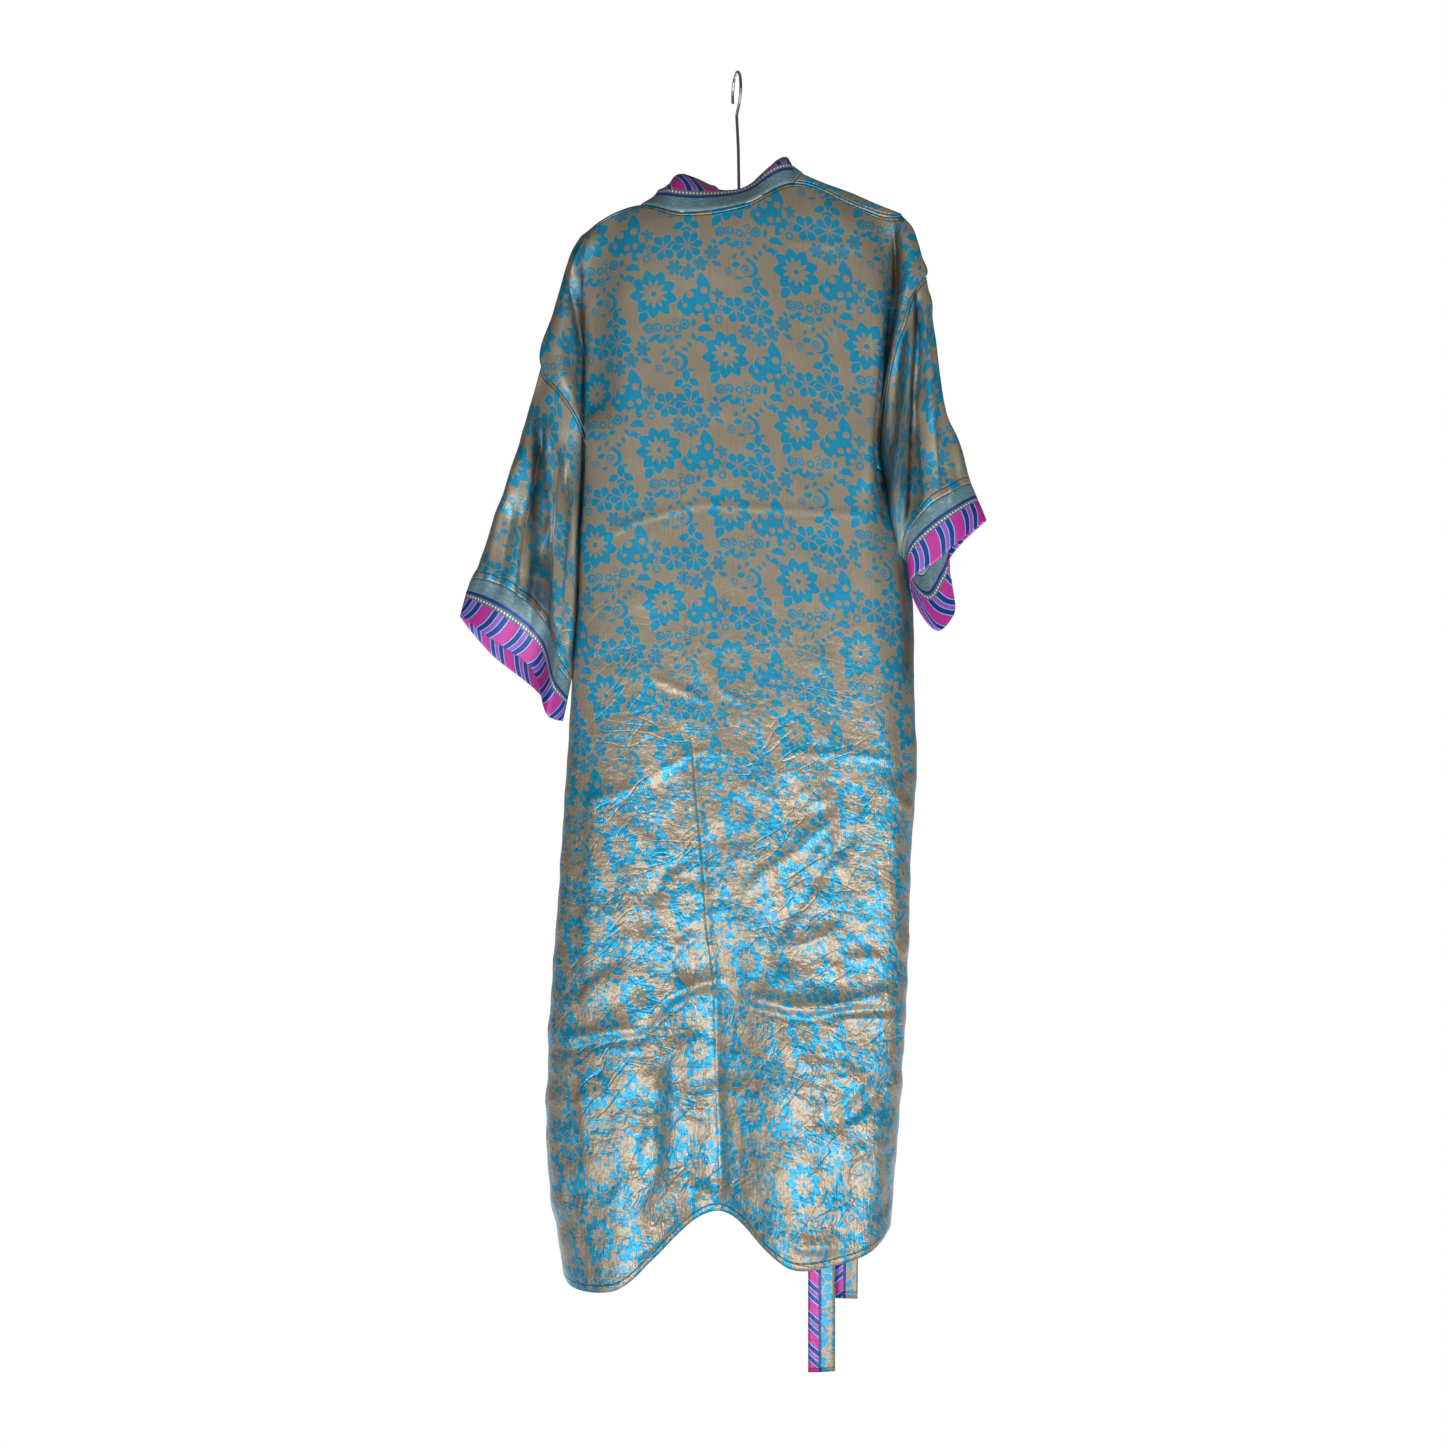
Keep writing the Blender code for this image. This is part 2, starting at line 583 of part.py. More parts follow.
back_grid = make_back()
left_grid, right_grid = make_fronts(back_grid)
make_neck_band(back_grid, left_grid, right_grid)
make_sleeve("left", SLEEVE_LEFT_RINGS, CUFF_LEFT_END, BACK_LEFT_EDGE, FRONT_LEFT_EDGE)
make_sleeve("right", SLEEVE_RIGHT_RINGS, CUFF_RIGHT_END, BACK_RIGHT_EDGE, FRONT_RIGHT_EDGE)
make_belt()
make_loops()
make_hanger()
make_hook()
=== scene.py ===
import math
from functools import partial

import bpy
import numpy as np
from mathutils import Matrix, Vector


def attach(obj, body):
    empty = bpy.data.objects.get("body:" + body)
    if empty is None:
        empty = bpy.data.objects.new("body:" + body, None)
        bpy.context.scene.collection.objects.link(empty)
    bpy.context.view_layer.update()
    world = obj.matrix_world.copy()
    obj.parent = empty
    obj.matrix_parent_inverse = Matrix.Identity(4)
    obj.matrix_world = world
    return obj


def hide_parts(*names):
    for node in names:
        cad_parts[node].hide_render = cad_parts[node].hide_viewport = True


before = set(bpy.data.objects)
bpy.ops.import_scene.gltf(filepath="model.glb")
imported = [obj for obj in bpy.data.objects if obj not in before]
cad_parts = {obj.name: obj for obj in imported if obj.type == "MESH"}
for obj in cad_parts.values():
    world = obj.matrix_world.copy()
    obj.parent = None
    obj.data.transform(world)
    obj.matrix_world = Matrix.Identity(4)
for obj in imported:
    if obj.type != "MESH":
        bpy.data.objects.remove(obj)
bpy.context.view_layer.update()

bl_info = {
    "name": "Satin kimono robe on hanger",
    "version": (1, 0, 0),
    "blender": (4, 5, 0),
    "location": "View3D > Sidebar > Robe",
    "description": "Dresses the packed robe in printed satin, woven border and its hanger",
    "category": "Object",
}

MM = 0.001

# The photo is 1445 pixels square, and at the robe one pixel is 1.2 mm.
PIXEL = 1.2
HALF_FRAME = 722.5
CAMERA_AT = (-17.0, -2500.0, -778.0)

# Cloth walls, and the small gaps left between neighbouring pieces, in mm.
WALL = 0.7
BAND_WALL = 1.2
BELT_WALL = 1.2
SEAM_GAP = 0.15
ARMHOLE_GAP = 0.25
CUFF_GAP = 0.2
SIDE_GAP = 0.8

# Where the armholes start and end, and over how many mm and columns the fronts' side
# edges are brought to the back's beyond them.
ARMHOLE_TOP = {"left": -351, "right": -243}
UNDERARM = {"left": -546, "right": -498}
UNDERARM_OUT = 2
UNDERARM_DROP = 3
JOIN_EASE = 15.0
JOIN_COLUMNS = 16

# The right front's first rows climb over the hanger's arm from a seam behind it: how far
# the seam stops short of the shoulder's corner and of the neck's, and the crown's place.
CROWN_STEPS = 5
CROWN_ASIDE = 3
NECK_CORNER = 8.0
CROWN_IN = 1
CROWN_Y = -1.5
CROWN_RISE = 3
CROWN_NEXT_ROW = 4

# How finely the sheets are divided.
BACK_ROWS = 286
BACK_SPANS = (9, 10, 20, 32, 26, 16, 12, 10, 8, 7)
CENTRE_SPAN = 4
CENTRE_CROWD = 1.4
FRONT_ROWS = 240
FRONT_COLUMNS = 60
ROW_CROWD = 1.03
SLEEVE_ROWS = 88
CUFF_ROWS = 18
RING_STEPS = 24
BELT_STEP = 8
BELT_ACROSS = 8
BELT_CUP = 1.4
EDGE_POINTS = 60
CORD_STEPS = 8

# How creases are pressed in: their width on the steep and the gentle side, the ease at
# their ends, and how fast they and the painted shades fade where the cloth turns away.
STEEP_SIDE = 0.65
GENTLE_SIDE = 1.7
END_SHARE = 0.3
END_MOST = 35.0
CREASE_FADE = 2.2
SHADE_FADE = 3
# How far the painted shade in the narrow folds darkens the satin's colour.
PAINTED_FOLD_SHADE = 0.95

# Over how many mm creases ease in from a seamed edge.
SIDE_EASE = 14
BACK_TOP_EASE = 14
FRONT_TOP_EASE = 30
SLEEVE_TOP_EASE = 16

# The soft unevenness: a few long waves in photo pixels, stronger towards the hem.
WAVES = 14
WAVE_LENGTHS = (28, 90)
WAVE_SPREAD = 0.9
WAVES_TOTAL = 5.0
RUMPLE_UPPER = 0.35
RUMPLE_FROM = 700
RUMPLE_OVER = 350
RUMPLE_SEEDS = {
    "back": 3, "front_left": 11, "front_right": 12, "sleeve_left": 21, "sleeve_right": 22,
}

# How strongly the back's columns are drawn towards its narrow folds, from how far in mm,
# and how far from the side edges that starts.
GATHER_PULL = 0.62
GATHER_REACH = 22
GATHER_EDGE = 20

# How many mm of cloth lie in a mm of width and of drop, by mm below the hook.
WIDTH_TAKEN_UP = ((271, 631, 931, 1231), (1.0, 1.07, 1.26, 1.34))
LENGTH_TAKEN_UP = ((271, 631, 1100), (0.987, 1.040, 1.062))
LEVEL_STEP = 10
LOWEST_LEVEL = 1600
GRAIN_SLANT = 0.2
SLANT_FROM = 60
SLEEVE_PRINT_START = 90.0

# Lines down the back panel, each row (x, y, z): from the shoulder or neck seam to the hem.
# Each outer edge is the sleeve's top fold, then the armhole, the underarm and the side seam.
BACK_LEFT_EDGE = (
    (-187, -2.2, -195), (-197, -2.2, -211), (-204, -2.2, -230), (-212, -2.2, -258),
    (-220, -3.2, -286), (-235, -3.2, -350), (-230, -6, -362), (-217, -14, -375),
    (-203, -15, -392), (-191, -10, -410), (-182, 2, -432), (-174, 16, -480),
    (-167, 30, -560), (-178, 40, -690), (-187, 44, -800), (-196, 48, -1000),
    (-200, 52, -1250), (-186, 54, -1436),
)
BACK_LEFT_FLAP = (
    (-180, -3, -190), (-185, -9, -203), (-196, -12, -228), (-206, -16, -286),
    (-211, -19, -343), (-206, -19, -368), (-194, -13, -392), (-184.5, -5, -412),
    (-179, -1, -436), (-179, 6, -480), (-184, 12, -560), (-187, 22, -640),
    (-191, 28, -700), (-200, 31, -790),
    (-214, 28, -991), (-226, 30, -1164), (-226, 32, -1322), (-207, 34, -1440),
)
BACK_LEFT_VALLEY = (
    (-168, -3, -180), (-173, -5, -196), (-186, -2.5, -228), (-188, 4, -286),
    (-185, 10, -343), (-182, 8, -375), (-180, 2, -400), (-180, -5, -440),
    (-187, -10, -560), (-191, -8, -640), (-196, -7, -700), (-197, -6, -790), (-211, -6, -991),
    (-222, -6, -1164), (-222, -6, -1322), (-203, -6, -1448),
)
BACK_LEFT_CREST = (
    (-116, -4, -158), (-118, -12, -172), (-128, -23, -230), (-136, -30, -343),
    (-132, -35, -480), (-126, -42, -700), (-132, -52, -1000), (-138, -64, -1200),
    (-146, -74, -1441),
)
BACK_CENTRE = (
    (-68, -19, -170), (-70, -22, -183), (-72, -27, -307), (-66, -32, -480),
    (-59, -37, -691), (-47, -40, -886), (-31, -34, -1063), (-26, -24, -1111),
    (-24, -32, -1231), (-20, -26, -1358),
)
BACK_RIGHT_CREST = (
    (10, -21, -160), (14, -24, -173), (32, -29, -230), (48, -34, -400),
    (52, -41, -600), (50, -49, -886), (56, -53, -1063), (66, -68, -1250),
    (70, -78, -1416),
)
BACK_RIGHT_NECK = (
    (66, -8, -133), (74, -14, -152), (96, -21, -230), (116, -28, -400),
    (112, -35, -600), (122, -40, -886), (126, -42, -1063), (126, -52, -1250),
    (118, -60, -1414),
)
BACK_RIGHT_RIDGE = (
    (150, -9, -164), (157, -14, -182), (168, -17, -230), (171, -22, -300),
    (161, -26, -400), (158, -30, -480), (163, -34, -600), (178, -34, -740),
    (190, -30, -886), (186, -30, -1063), (176, -36, -1250), (158, -40, -1404),
)
BACK_RIGHT_VALLEY = (
    (182, -5, -173), (185, -4, -188), (185, 1, -214), (182, 8, -260),
    (178, 10, -310), (171, 7, -380), (167, 0, -460), (180, -4, -530), (191, -4, -565),
    (199, -4, -592), (204, -4, -622), (207, -3, -680), (208, -2, -740), (214, 2, -840),
    (209, 5, -910), (206, 6, -1063), (196, 6, -1250),
    (184, 4, -1385),
)
BACK_RIGHT_FLAP = (
    (192, -6, -173), (203, -9, -196), (208, -12, -225), (206, -15, -250),
    (196, -11, -285), (186.5, -3, -322), (177, 5, -372), (174, 11, -460),
    (189, 16, -530), (200, 17, -562), (207, 18, -590), (212, 20, -620), (214.5, 21, -680),
    (215, 22, -740), (218, 23, -840), (213, 24, -910), (207, 26, -1063),
    (197, 28, -1250), (186, 28, -1388),
)
BACK_RIGHT_EDGE = (
    (199, -2, -171), (210, -2.2, -183), (217, -2.2, -200), (222, -2.2, -218), (228, -2.2, -242),
    (219, -7, -252), (208, -12, -270), (199, -12, -296), (189, -5, -324),
    (180, 6, -372), (175, 16, -430), (171, 29, -520), (166, 46, -620),
    (156, 56, -700), (152, 60, -800), (146, 62, -940), (140, 64, -1100),
    (136, 66, -1250), (132, 64, -1400),
)

# Lines down each front panel. The left starts at the shoulder seam, the right over the
# hanger's arm, because its seam lies on the back.
FRONT_LEFT_OPENING = (
    (-116, 3, -159), (-118, 12, -176), (-118, 24, -300), (-118, 34, -600),
    (-117, 42, -1000), (-118, 46, -1374),
)
FRONT_LEFT_FOLD_A = (
    (-140, 3, -168), (-138, 16, -192), (-134, 34, -330), (-134, 48, -600),
    (-133, 62, -1000), (-134, 68, -1386),
)
FRONT_LEFT_FOLD_B = (
    (-158, 2, -176), (-158, 14, -200), (-154, 24, -330), (-150, 34, -600),
    (-152, 44, -1000), (-152, 46, -1399),
)
FRONT_LEFT_FOLD_C = (
    (-174, 2, -184), (-176, 12, -206), (-178, 26, -330), (-170, 44, -560),
    (-172, 56, -720), (-176, 64, -1000), (-168, 68, -1424),
)
FRONT_LEFT_EDGE = (
    (-186, 2.2, -196), (-196, 2.2, -212), (-203, 2.2, -230), (-212, 2.2, -258),
    (-220, 3.2, -286), (-235, 3.2, -350), (-230, 8, -364), (-219, 15, -378),
    (-208, 20, -396), (-198, 26, -416), (-188, 34, -452), (-178, 38, -500),
    (-169, 34, -558), (-178.5, 42.5, -690), (-187.5, 46.5, -800),
    (-196.5, 50.5, -1000), (-200.5, 54.5, -1250), (-186.5, 56.5, -1436),
)
FRONT_RIGHT_OPENING = (
    (79, 4, -123), (80, 12, -134), (80, 24, -300), (78, 34, -600),
    (77, 42, -1000), (78, 46, -1396),
)
FRONT_RIGHT_FOLD_A = (
    (98, 4, -131), (99, 14, -146), (97, 36, -330), (94, 46, -600),
    (93, 54, -1000), (94, 58, -1398),
)
FRONT_RIGHT_FOLD_B = (
    (140, 4, -147), (139, 14, -164), (122, 24, -330), (110, 30, -600),
    (108, 38, -1000), (107, 42, -1398),
)
FRONT_RIGHT_FOLD_C = (
    (178, 4, -163), (178, 13, -184), (158, 36, -330), (142, 50, -520),
    (126, 58, -760), (122, 62, -1000), (118, 64, -1402),
)
FRONT_RIGHT_EDGE = (
    (202, 2.2, -171), (214, 2.2, -194), (222, 2.2, -218), (228, 2.2, -242),
    (221, 9, -254), (211, 15, -272), (202, 21, -300), (192, 28, -340),
    (182, 36, -400), (176, 41, -460), (171, 35, -518), (164, 47, -620),
    (154, 56.5, -700), (150, 60.5, -800), (144, 62.5, -940), (138, 64.5, -1100),
    (134, 66.5, -1250), (130, 64.5, -1400),
)

# Rings of the sleeves: (x, y, z) of the top fold, near layer, inner fold and far layer.
SLEEVE_LEFT_RINGS = (
    ((-257, 0, -430), (-234, -20, -448), (-211, -8, -476), (-194, -12, -520),
     (-188, 12, -582), (-194, 28, -540), (-212, 28, -490), (-240, 18, -446)),
    ((-278, 0, -502), (-248, -22, -520), (-219, -6, -550), (-203, -20, -592),
     (-191, 4, -640), (-198, 24, -616), (-222, 26, -570), (-256, 18, -520)),
    ((-300, 0, -574), (-262, -24, -592), (-225, -4, -628), (-208, -26, -664),
     (-196, -2, -700), (-204, 18, -688), (-228, 24, -650), (-272, 18, -598)),
    ((-319, 0, -606), (-276, -24, -616), (-228, -2, -660), (-211, -28, -708),
     (-199, -4, -734), (-208, 14, -730), (-232, 22, -692), (-286, 18, -634)),
)
CUFF_LEFT_END = (
    (-332, 0, -650), (-296, -22, -676), (-246, 0, -714), (-222, -28, -772),
    (-208, -6, -776), (-214, 10, -772), (-240, 20, -742), (-300, 18, -692),
)
SLEEVE_RIGHT_RINGS = (
    ((236, 0, -300), (222, -20, -318), (206, -12, -352), (188, -4, -420),
     (184, 22, -524), (193, 33, -462), (211, 31, -388), (228, 20, -320)),
    ((248, 0, -390), (230, -22, -402), (212, -4, -424), (192, -14, -468),
     (187, 10, -548), (198, 24, -510), (216, 28, -450), (236, 18, -404)),
    ((266, 0, -450), (242, -22, -464), (218, -8, -486), (198, -14, -520),
     (196, 6, -578), (210, 18, -560), (230, 24, -520), (252, 18, -470)),
    ((282, 0, -492), (253, -20, -504), (226, -20, -522), (203, -12, -556),
     (207, 2, -592), (222, 12, -600), (242, 20, -570), (265, 18, -530)),
)
CUFF_RIGHT_END = (
    (300, 0, -535), (267, -20, -560), (234, -22, -589), (208, -14, -608),
    (216, -2, -640), (243, 6, -668), (262, 16, -648), (256, 18, -585),
)

# How the neck band leans round the neck: share of the way from the left front to the right,
# inward direction in plan from +X, and the lean of its lower and upper half from upright.
BAND_LEAN = (
    (0.00, 0, 90, 90), (0.12, 6, 86, 88), (0.204, 16, 82, 84), (0.233, 23, 77, 82),
    (0.261, 34, 66, 80), (0.284, 54, 52, 88), (0.300, 70, 40, 98), (0.315, 76, 31, 98),
    (0.330, 80, 20, 70), (0.345, 82, 12, 50), (0.362, 83, 13, 36), (0.384, 84, 17, 42),
    (0.405, 86, 22, 52), (0.425, 88, 26, 64), (0.443, 89, 30, 74), (0.466, 90, 34, 160),
    (0.489, 90, 38, 178), (0.515, 90, 36, 112), (0.532, 90, 32, 80), (0.548, 90, 24, 81),
    (0.566, 90, 15, 80), (0.581, 90, 12, 72), (0.600, 88, 15, 66), (0.615, 92, 22, 70),
    (0.630, 112, 36, 96), (0.645, 132, 48, 104), (0.671, 148, 60, 104), (0.707, 156, 67, 98),
    (0.731, 160, 72, 82), (0.761, 164, 78, 82), (0.80, 170, 84, 85), (0.88, 176, 88, 88),
    (1.00, 180, 90, 90),
)
BAND_ACROSS = (
    0.0, 5.5, 11.0, 16.0, 21.0, 23.0, 25.0, 27.0, 29.0, 31.0, 36.5, 42.0, 48.5, 55.0,
)
BAND_BEND_FROM = 26.0
BAND_BEND_TO = 36.0
NECK_FOOT = -300.0

# The belt hangs doubled on its loop: (x, y, z, width, turn in degrees) down each half.
BELT_ROWS = (
    (106, 86, -1584, 34, 8), (106, 85, -1450, 34, 6), (108, 84, -1200, 34, 4),
    (112, 82, -950, 32, 8), (117, 80, -740, 28, 6), (119, 82, -694, 24, 3),
    (119, 83.3, -681, 22, 0), (119, 84, -677.6, 22, 0), (119, 86, -676.2, 22, 0),
    (119, 88, -677.6, 22, 0), (119, 88.7, -681, 22, 0), (120, 90, -694, 24, 3),
    (125, 95, -740, 28, 4), (130, 98, -950, 30, 4),
    (134, 98, -1200, 32, -4), (137, 98, -1400, 31, -8), (136, 98, -1496, 31, -8),
)
BELT_LOOP_RIGHT = (
    (158, 52.4, -646), (149, 66, -650), (126, 90, -656), (104, 94, -663), (99, 88, -672),
    (105, 86, -678.7), (112, 86, -679), (128, 86, -679), (136, 85.6, -679.6),
    (146, 76, -685), (155, 56.9, -696),
)
BELT_LOOP_LEFT = (
    (-175.2, 40.7, -648), (-181, 52, -653), (-180, 62, -672), (-182, 54, -690),
    (-179.6, 43.7, -696),
)
LOOP_RADIUS = 1.3

# Creases, read off the photo: rise in mm, half width in mm, then photo pixels.
BACK_CREASES = (
    (1.5, 3, ((572, 810), (602, 799), (640, 786), (657, 777), (680, 760), (700, 752),
     (730, 750))),
    (1.4, 3, ((780, 755), (810, 755), (865, 757), (890, 762), (915, 771))),
    (3.0, 5, ((847, 837), (857, 830), (877, 802), (887, 784), (900, 769))),
    (-2.5, 5, ((887, 784), (902, 777), (915, 767))),
    (2.2, 5, ((890, 790), (900, 805), (915, 812))),
    (2.8, 6, ((730, 902), (747, 892), (765, 877), (780, 865), (800, 850), (827, 825),
     (850, 805))),
    (2.4, 5, ((790, 915), (800, 900), (820, 862), (835, 837), (842, 819))),
    (-3.2, 7, ((765, 960), (785, 927), (805, 900), (822, 870), (850, 840), (860, 820),
     (872, 802))),
    (2.0, 4, ((802, 812), (815, 805), (837, 797))),
    (1.8, 4, ((785, 804), (800, 797), (812, 787))),
    (2.6, 5, ((772, 955), (802, 947), (827, 937), (850, 920))),
    (-3.0, 7, ((652, 917), (662, 877), (680, 865), (700, 860))),
    (2.2, 5, ((685, 927), (700, 920), (715, 915), (730, 905))),
    (-1.2, 3, ((677, 330), (682, 480), (688, 650), (692, 760))),
    (-3.4, 3, ((692, 730), (696, 790), (702, 850), (707, 925), (715, 985), (717, 1100),
     (720, 1215))),
    (2.0, 7, ((684, 760), (692, 850), (698, 940))),
    (-9.0, 14, ((720, 1210), (717, 1120), (712, 1045))),
    (6.0, 11, ((650, 1060), (652, 1110), (640, 1180))),
    (-7.0, 16, ((676, 1050), (672, 1120), (668, 1190))),
    (4.5, 14, ((596, 770), (592, 860), (588, 960), (590, 1030))),
    (-4.5, 16, ((655, 760), (650, 860), (640, 960), (636, 1020))),
    (-4.0, 16, ((790, 770), (786, 850), (780, 930), (778, 990))),
    (4.0, 14, ((850, 1040), (846, 1100), (842, 1180))),
    (-4.0, 14, ((884, 1060), (888, 1120), (890, 1190))),
    (4.0, 12, ((586, 1060), (584, 1120), (592, 1190))),
    (2.4, 5, ((662, 975), (680, 947), (700, 937), (710, 932))),
    (5.0, 7, ((667, 1002), (682, 990), (700, 982), (720, 980), (735, 992))),
    (-2.5, 6, ((565, 1005), (585, 985), (615, 960), (622, 950))),
    (2.2, 5, ((900, 962), (907, 945), (912, 925))),
    (2.2, 5, ((840, 970), (850, 960), (870, 959), (890, 962))),
    (2.4, 5, ((810, 1007), (840, 1005), (877, 995), (910, 987))),
    (5.0, 7, ((552, 1048), (580, 1039), (615, 1033), (640, 1032), (652, 1023))),
    (5.5, 8, ((652, 1023), (665, 1003), (685, 990), (710, 985), (725, 995), (732, 1005))),
    (5.5, 8, ((732, 990), (755, 1000), (790, 1010), (815, 1012), (852, 1004), (910, 1002))),
    (-2.6, 4, ((552, 1055), (600, 1043), (645, 1040), (668, 1014), (700, 996), (728, 1008))),
    (-2.6, 4, ((738, 1002), (765, 1014), (800, 1020), (850, 1013), (905, 1010))),
    (3.5, 7, ((640, 1090), (652, 1075), (670, 1055), (690, 1042), (715, 1037))),
    (3.2, 6, ((815, 1047), (832, 1032), (847, 1020), (910, 1022))),
    (-5.5, 9, ((832, 1137), (845, 1122), (865, 1105), (890, 1080), (902, 1060))),
    (3.0, 6, ((822, 1118), (842, 1104), (862, 1086), (880, 1066))),
    (2.8, 5, ((837, 1057), (847, 1075), (857, 1087))),
    (2.0, 4, ((790, 1062), (815, 1068), (842, 1064))),
    (2.0, 4, ((802, 1075), (825, 1079), (850, 1080))),
    (2.0, 4, ((802, 1087), (825, 1092), (845, 1092))),
    (1.8, 4, ((795, 1100), (812, 1108), (832, 1106))),
    (1.8, 4, ((685, 1110), (700, 1114), (714, 1115))),
    (1.8, 4, ((682, 1121), (698, 1125), (714, 1126))),
    (1.8, 4, ((685, 1132), (700, 1135), (714, 1135))),
    (1.8, 4, ((684, 1144), (698, 1147), (712, 1146))),
    (3.0, 7, ((720, 1165), (735, 1192), (750, 1215), (765, 1240), (780, 1257))),
    (4.5, 10, ((627, 1225), (647, 1190), (660, 1160), (672, 1132))),
    (-3.0, 8, ((640, 1240), (662, 1205), (680, 1170), (690, 1140))),
    (3.0, 6, ((635, 1262), (655, 1242), (675, 1220), (695, 1208))),
    (-3.0, 6, ((562, 1187), (572, 1205), (582, 1187))),
    (3.0, 6, ((780, 1230), (800, 1250), (840, 1250), (855, 1245))),
    (-3.0, 7, ((875, 1225), (890, 1200), (897, 1172))),
    (2.8, 6, ((840, 1165), (872, 1147), (897, 1150))),
    (2.0, 5, ((560, 1110), (590, 1098), (622, 1102))),
    (2.2, 6, ((600, 1215), (622, 1196), (640, 1168))),
    (4.0, 7, ((687, 1197), (700, 1192), (715, 1200))),
    (1.3, 2.4, ((590, 545), (640, 520), (700, 505), (725, 507), (800, 511), (880, 517))),
    (1.0, 3.5, ((770, 240), (820, 246), (880, 250))),
    (1.6, 3.5, ((645, 675), (670, 687), (690, 695), (717, 707))),
    (1.6, 3.5, ((710, 678), (723, 693), (740, 703), (753, 712))),
    (1.3, 3.5, ((638, 737), (648, 735), (657, 732))),
    (-9.0, 3.4, ((581, 490), (583, 411), (584, 350), (580, 310), (570, 262))),
    (2.5, 6, ((589, 262), (590, 310), (591, 350), (589, 411), (587, 480))),
    (-10.0, 3.6, ((894, 222), (892, 286), (886, 333), (881, 404), (877, 437), (880, 462),
     (885, 530))),
    (4.0, 6, ((872, 500), (869, 440), (873, 404), (878, 340), (884, 290), (887, 228))),
    (3.0, 4, ((886, 440), (896, 470), (898, 495), (895, 520))),
    (2.5, 5, ((557, 300), (552, 330), (547, 360))),
    (2.5, 4, ((567, 300), (571, 335), (575, 372))),
    (-2.5, 4, ((566, 245), (572, 290), (578, 345))),
    (-2.5, 3, ((912, 282), (905, 317), (897, 342))),
)
# Where the back folds sharply towards each sleeve, in photo pixels from the top down.
SIDE_FOLDS = (
    ((570, 262), (580, 310), (584, 350), (583, 411), (581, 490)),
    ((894, 222), (892, 286), (886, 333), (881, 404), (877, 437), (880, 462), (885, 530)),
)
LEFT_SLEEVE_CREASES = (
    (6.5, 7, ((537, 395), (527, 450), (517, 480), (508, 520))),
    (7.0, 6, ((547, 412), (546, 475), (549, 517), (540, 560))),
    (7.0, 5, ((557, 440), (552, 505), (557, 567), (552, 640))),
    (6.0, 8, ((525, 440), (510, 492), (495, 555), (484, 600))),
    (-11.0, 6, ((542, 420), (537, 480), (525, 517), (522, 580), (517, 610))),
    (-10.0, 4, ((565, 455), (563, 540), (560, 620), (556, 690))),
    (5.0, 6, ((507, 490), (490, 545), (474, 592))),
    (5.0, 7, ((538, 550), (530, 600), (526, 640))),
    (-9.0, 5, ((515, 490), (502, 550), (494, 602))),
    (4.5, 4, ((573, 480), (572, 560), (568, 660))),
    (-4.0, 5, ((552, 300), (545, 350), (538, 400))),
)
RIGHT_SLEEVE_CREASES = (
    (5.0, 6, ((919, 268), (929, 330), (929, 385), (934, 440))),
    (-8.0, 6, ((926, 300), (938, 380), (942, 450), (944, 500))),
    (-10.0, 3.5, ((911, 272), (917, 301), (916, 333), (913, 383), (912, 437), (910, 478),
     (908, 530))),
    (5.0, 7, ((934, 360), (950, 420), (964, 490))),
    (6.0, 7, ((916, 380), (922, 440), (926, 515))),
    (-7.0, 6, ((910, 400), (913, 460), (914, 530))),
    (4.5, 5, ((943, 430), (948, 470), (950, 510))),
    (5.0, 6, ((908, 320), (905, 400), (902, 480))),
    (-6.0, 5, ((899, 300), (893, 380), (890, 460))),
)
# Painted shade, darkened into the satin's colour where narrow folds hide the cloth from the
# light: how dark, half width in mm, photo pixels.
BACK_SHADES = (
    (1.00, 2.6, ((583, 490), (584, 411), (584, 333), (582, 245))),
    (0.55, 9.0, ((604, 214), (590, 233), (577, 252), (566, 268))),
    (0.60, 7.0, ((584, 365), (580, 310), (567, 255))),
    (1.00, 5.0, ((896, 204), (893, 286), (888, 333), (882, 404), (878, 437), (880, 470),
     (885, 520))),
    (0.85, 2.4, ((583, 420), (582, 468), (578, 532), (577, 583), (575, 628), (572, 680))),
    (0.60, 9.0, ((896, 545), (903, 590), (906, 640), (906, 700))),
)
LEFT_SLEEVE_SHADES = (
    (0.88, 9.0, ((537, 400), (535, 446), (534, 475), (533, 514), (532, 560), (530, 600),
     (529, 640))),
    (0.65, 8.0, ((549, 690), (549, 640), (549, 600), (548, 528), (545, 430))),
    (0.90, 2.6, ((583, 400), (582, 468), (578, 532), (577, 583), (575, 628), (572, 680))),
)
RIGHT_SLEEVE_SHADES = (
    (0.92, 2.6, ((904, 540), (909, 501), (910, 474), (911, 437), (913, 383), (916, 333),
     (917, 301), (911, 270))),
    (0.55, 8.0, ((902, 520), (905, 440), (906, 380), (908, 320))),
    (0.90, 3.2, ((884, 380), (878, 444), (881, 470), (885, 483), (884, 515), (890, 530),
     (906, 570))),
)
FRONT_CREASES = (
    (3.0, 6, ((590, 800), (615, 790), (637, 785))),
    (2.4, 5, ((575, 905), (600, 915), (630, 917))),
    (5.0, 8, ((572, 1050), (600, 1036), (636, 1030))),
    (-3.5, 8, ((580, 1090), (600, 1070), (633, 1062))),
    (3.0, 7, ((600, 1140), (612, 1180), (606, 1240))),
    (3.0, 7, ((585, 560), (600, 640), (596, 700), (604, 800))),
    (-3.0, 8, ((610, 330), (616, 450), (612, 560))),
    (3.0, 7, ((812, 760), (835, 752), (855, 756))),
    (-3.0, 7, ((806, 860), (826, 880), (850, 884))),
    (5.0, 8, ((802, 1010), (826, 1003), (850, 1008))),
    (3.0, 7, ((815, 1080), (828, 1110), (824, 1180))),
    (3.0, 7, ((840, 340), (846, 450), (842, 560))),
    (-3.0, 7, ((815, 600), (820, 660), (818, 760))),
    (2.5, 6, ((590, 1200), (610, 1215), (632, 1210))),
    (2.5, 6, ((806, 1210), (830, 1222), (852, 1214))),
)
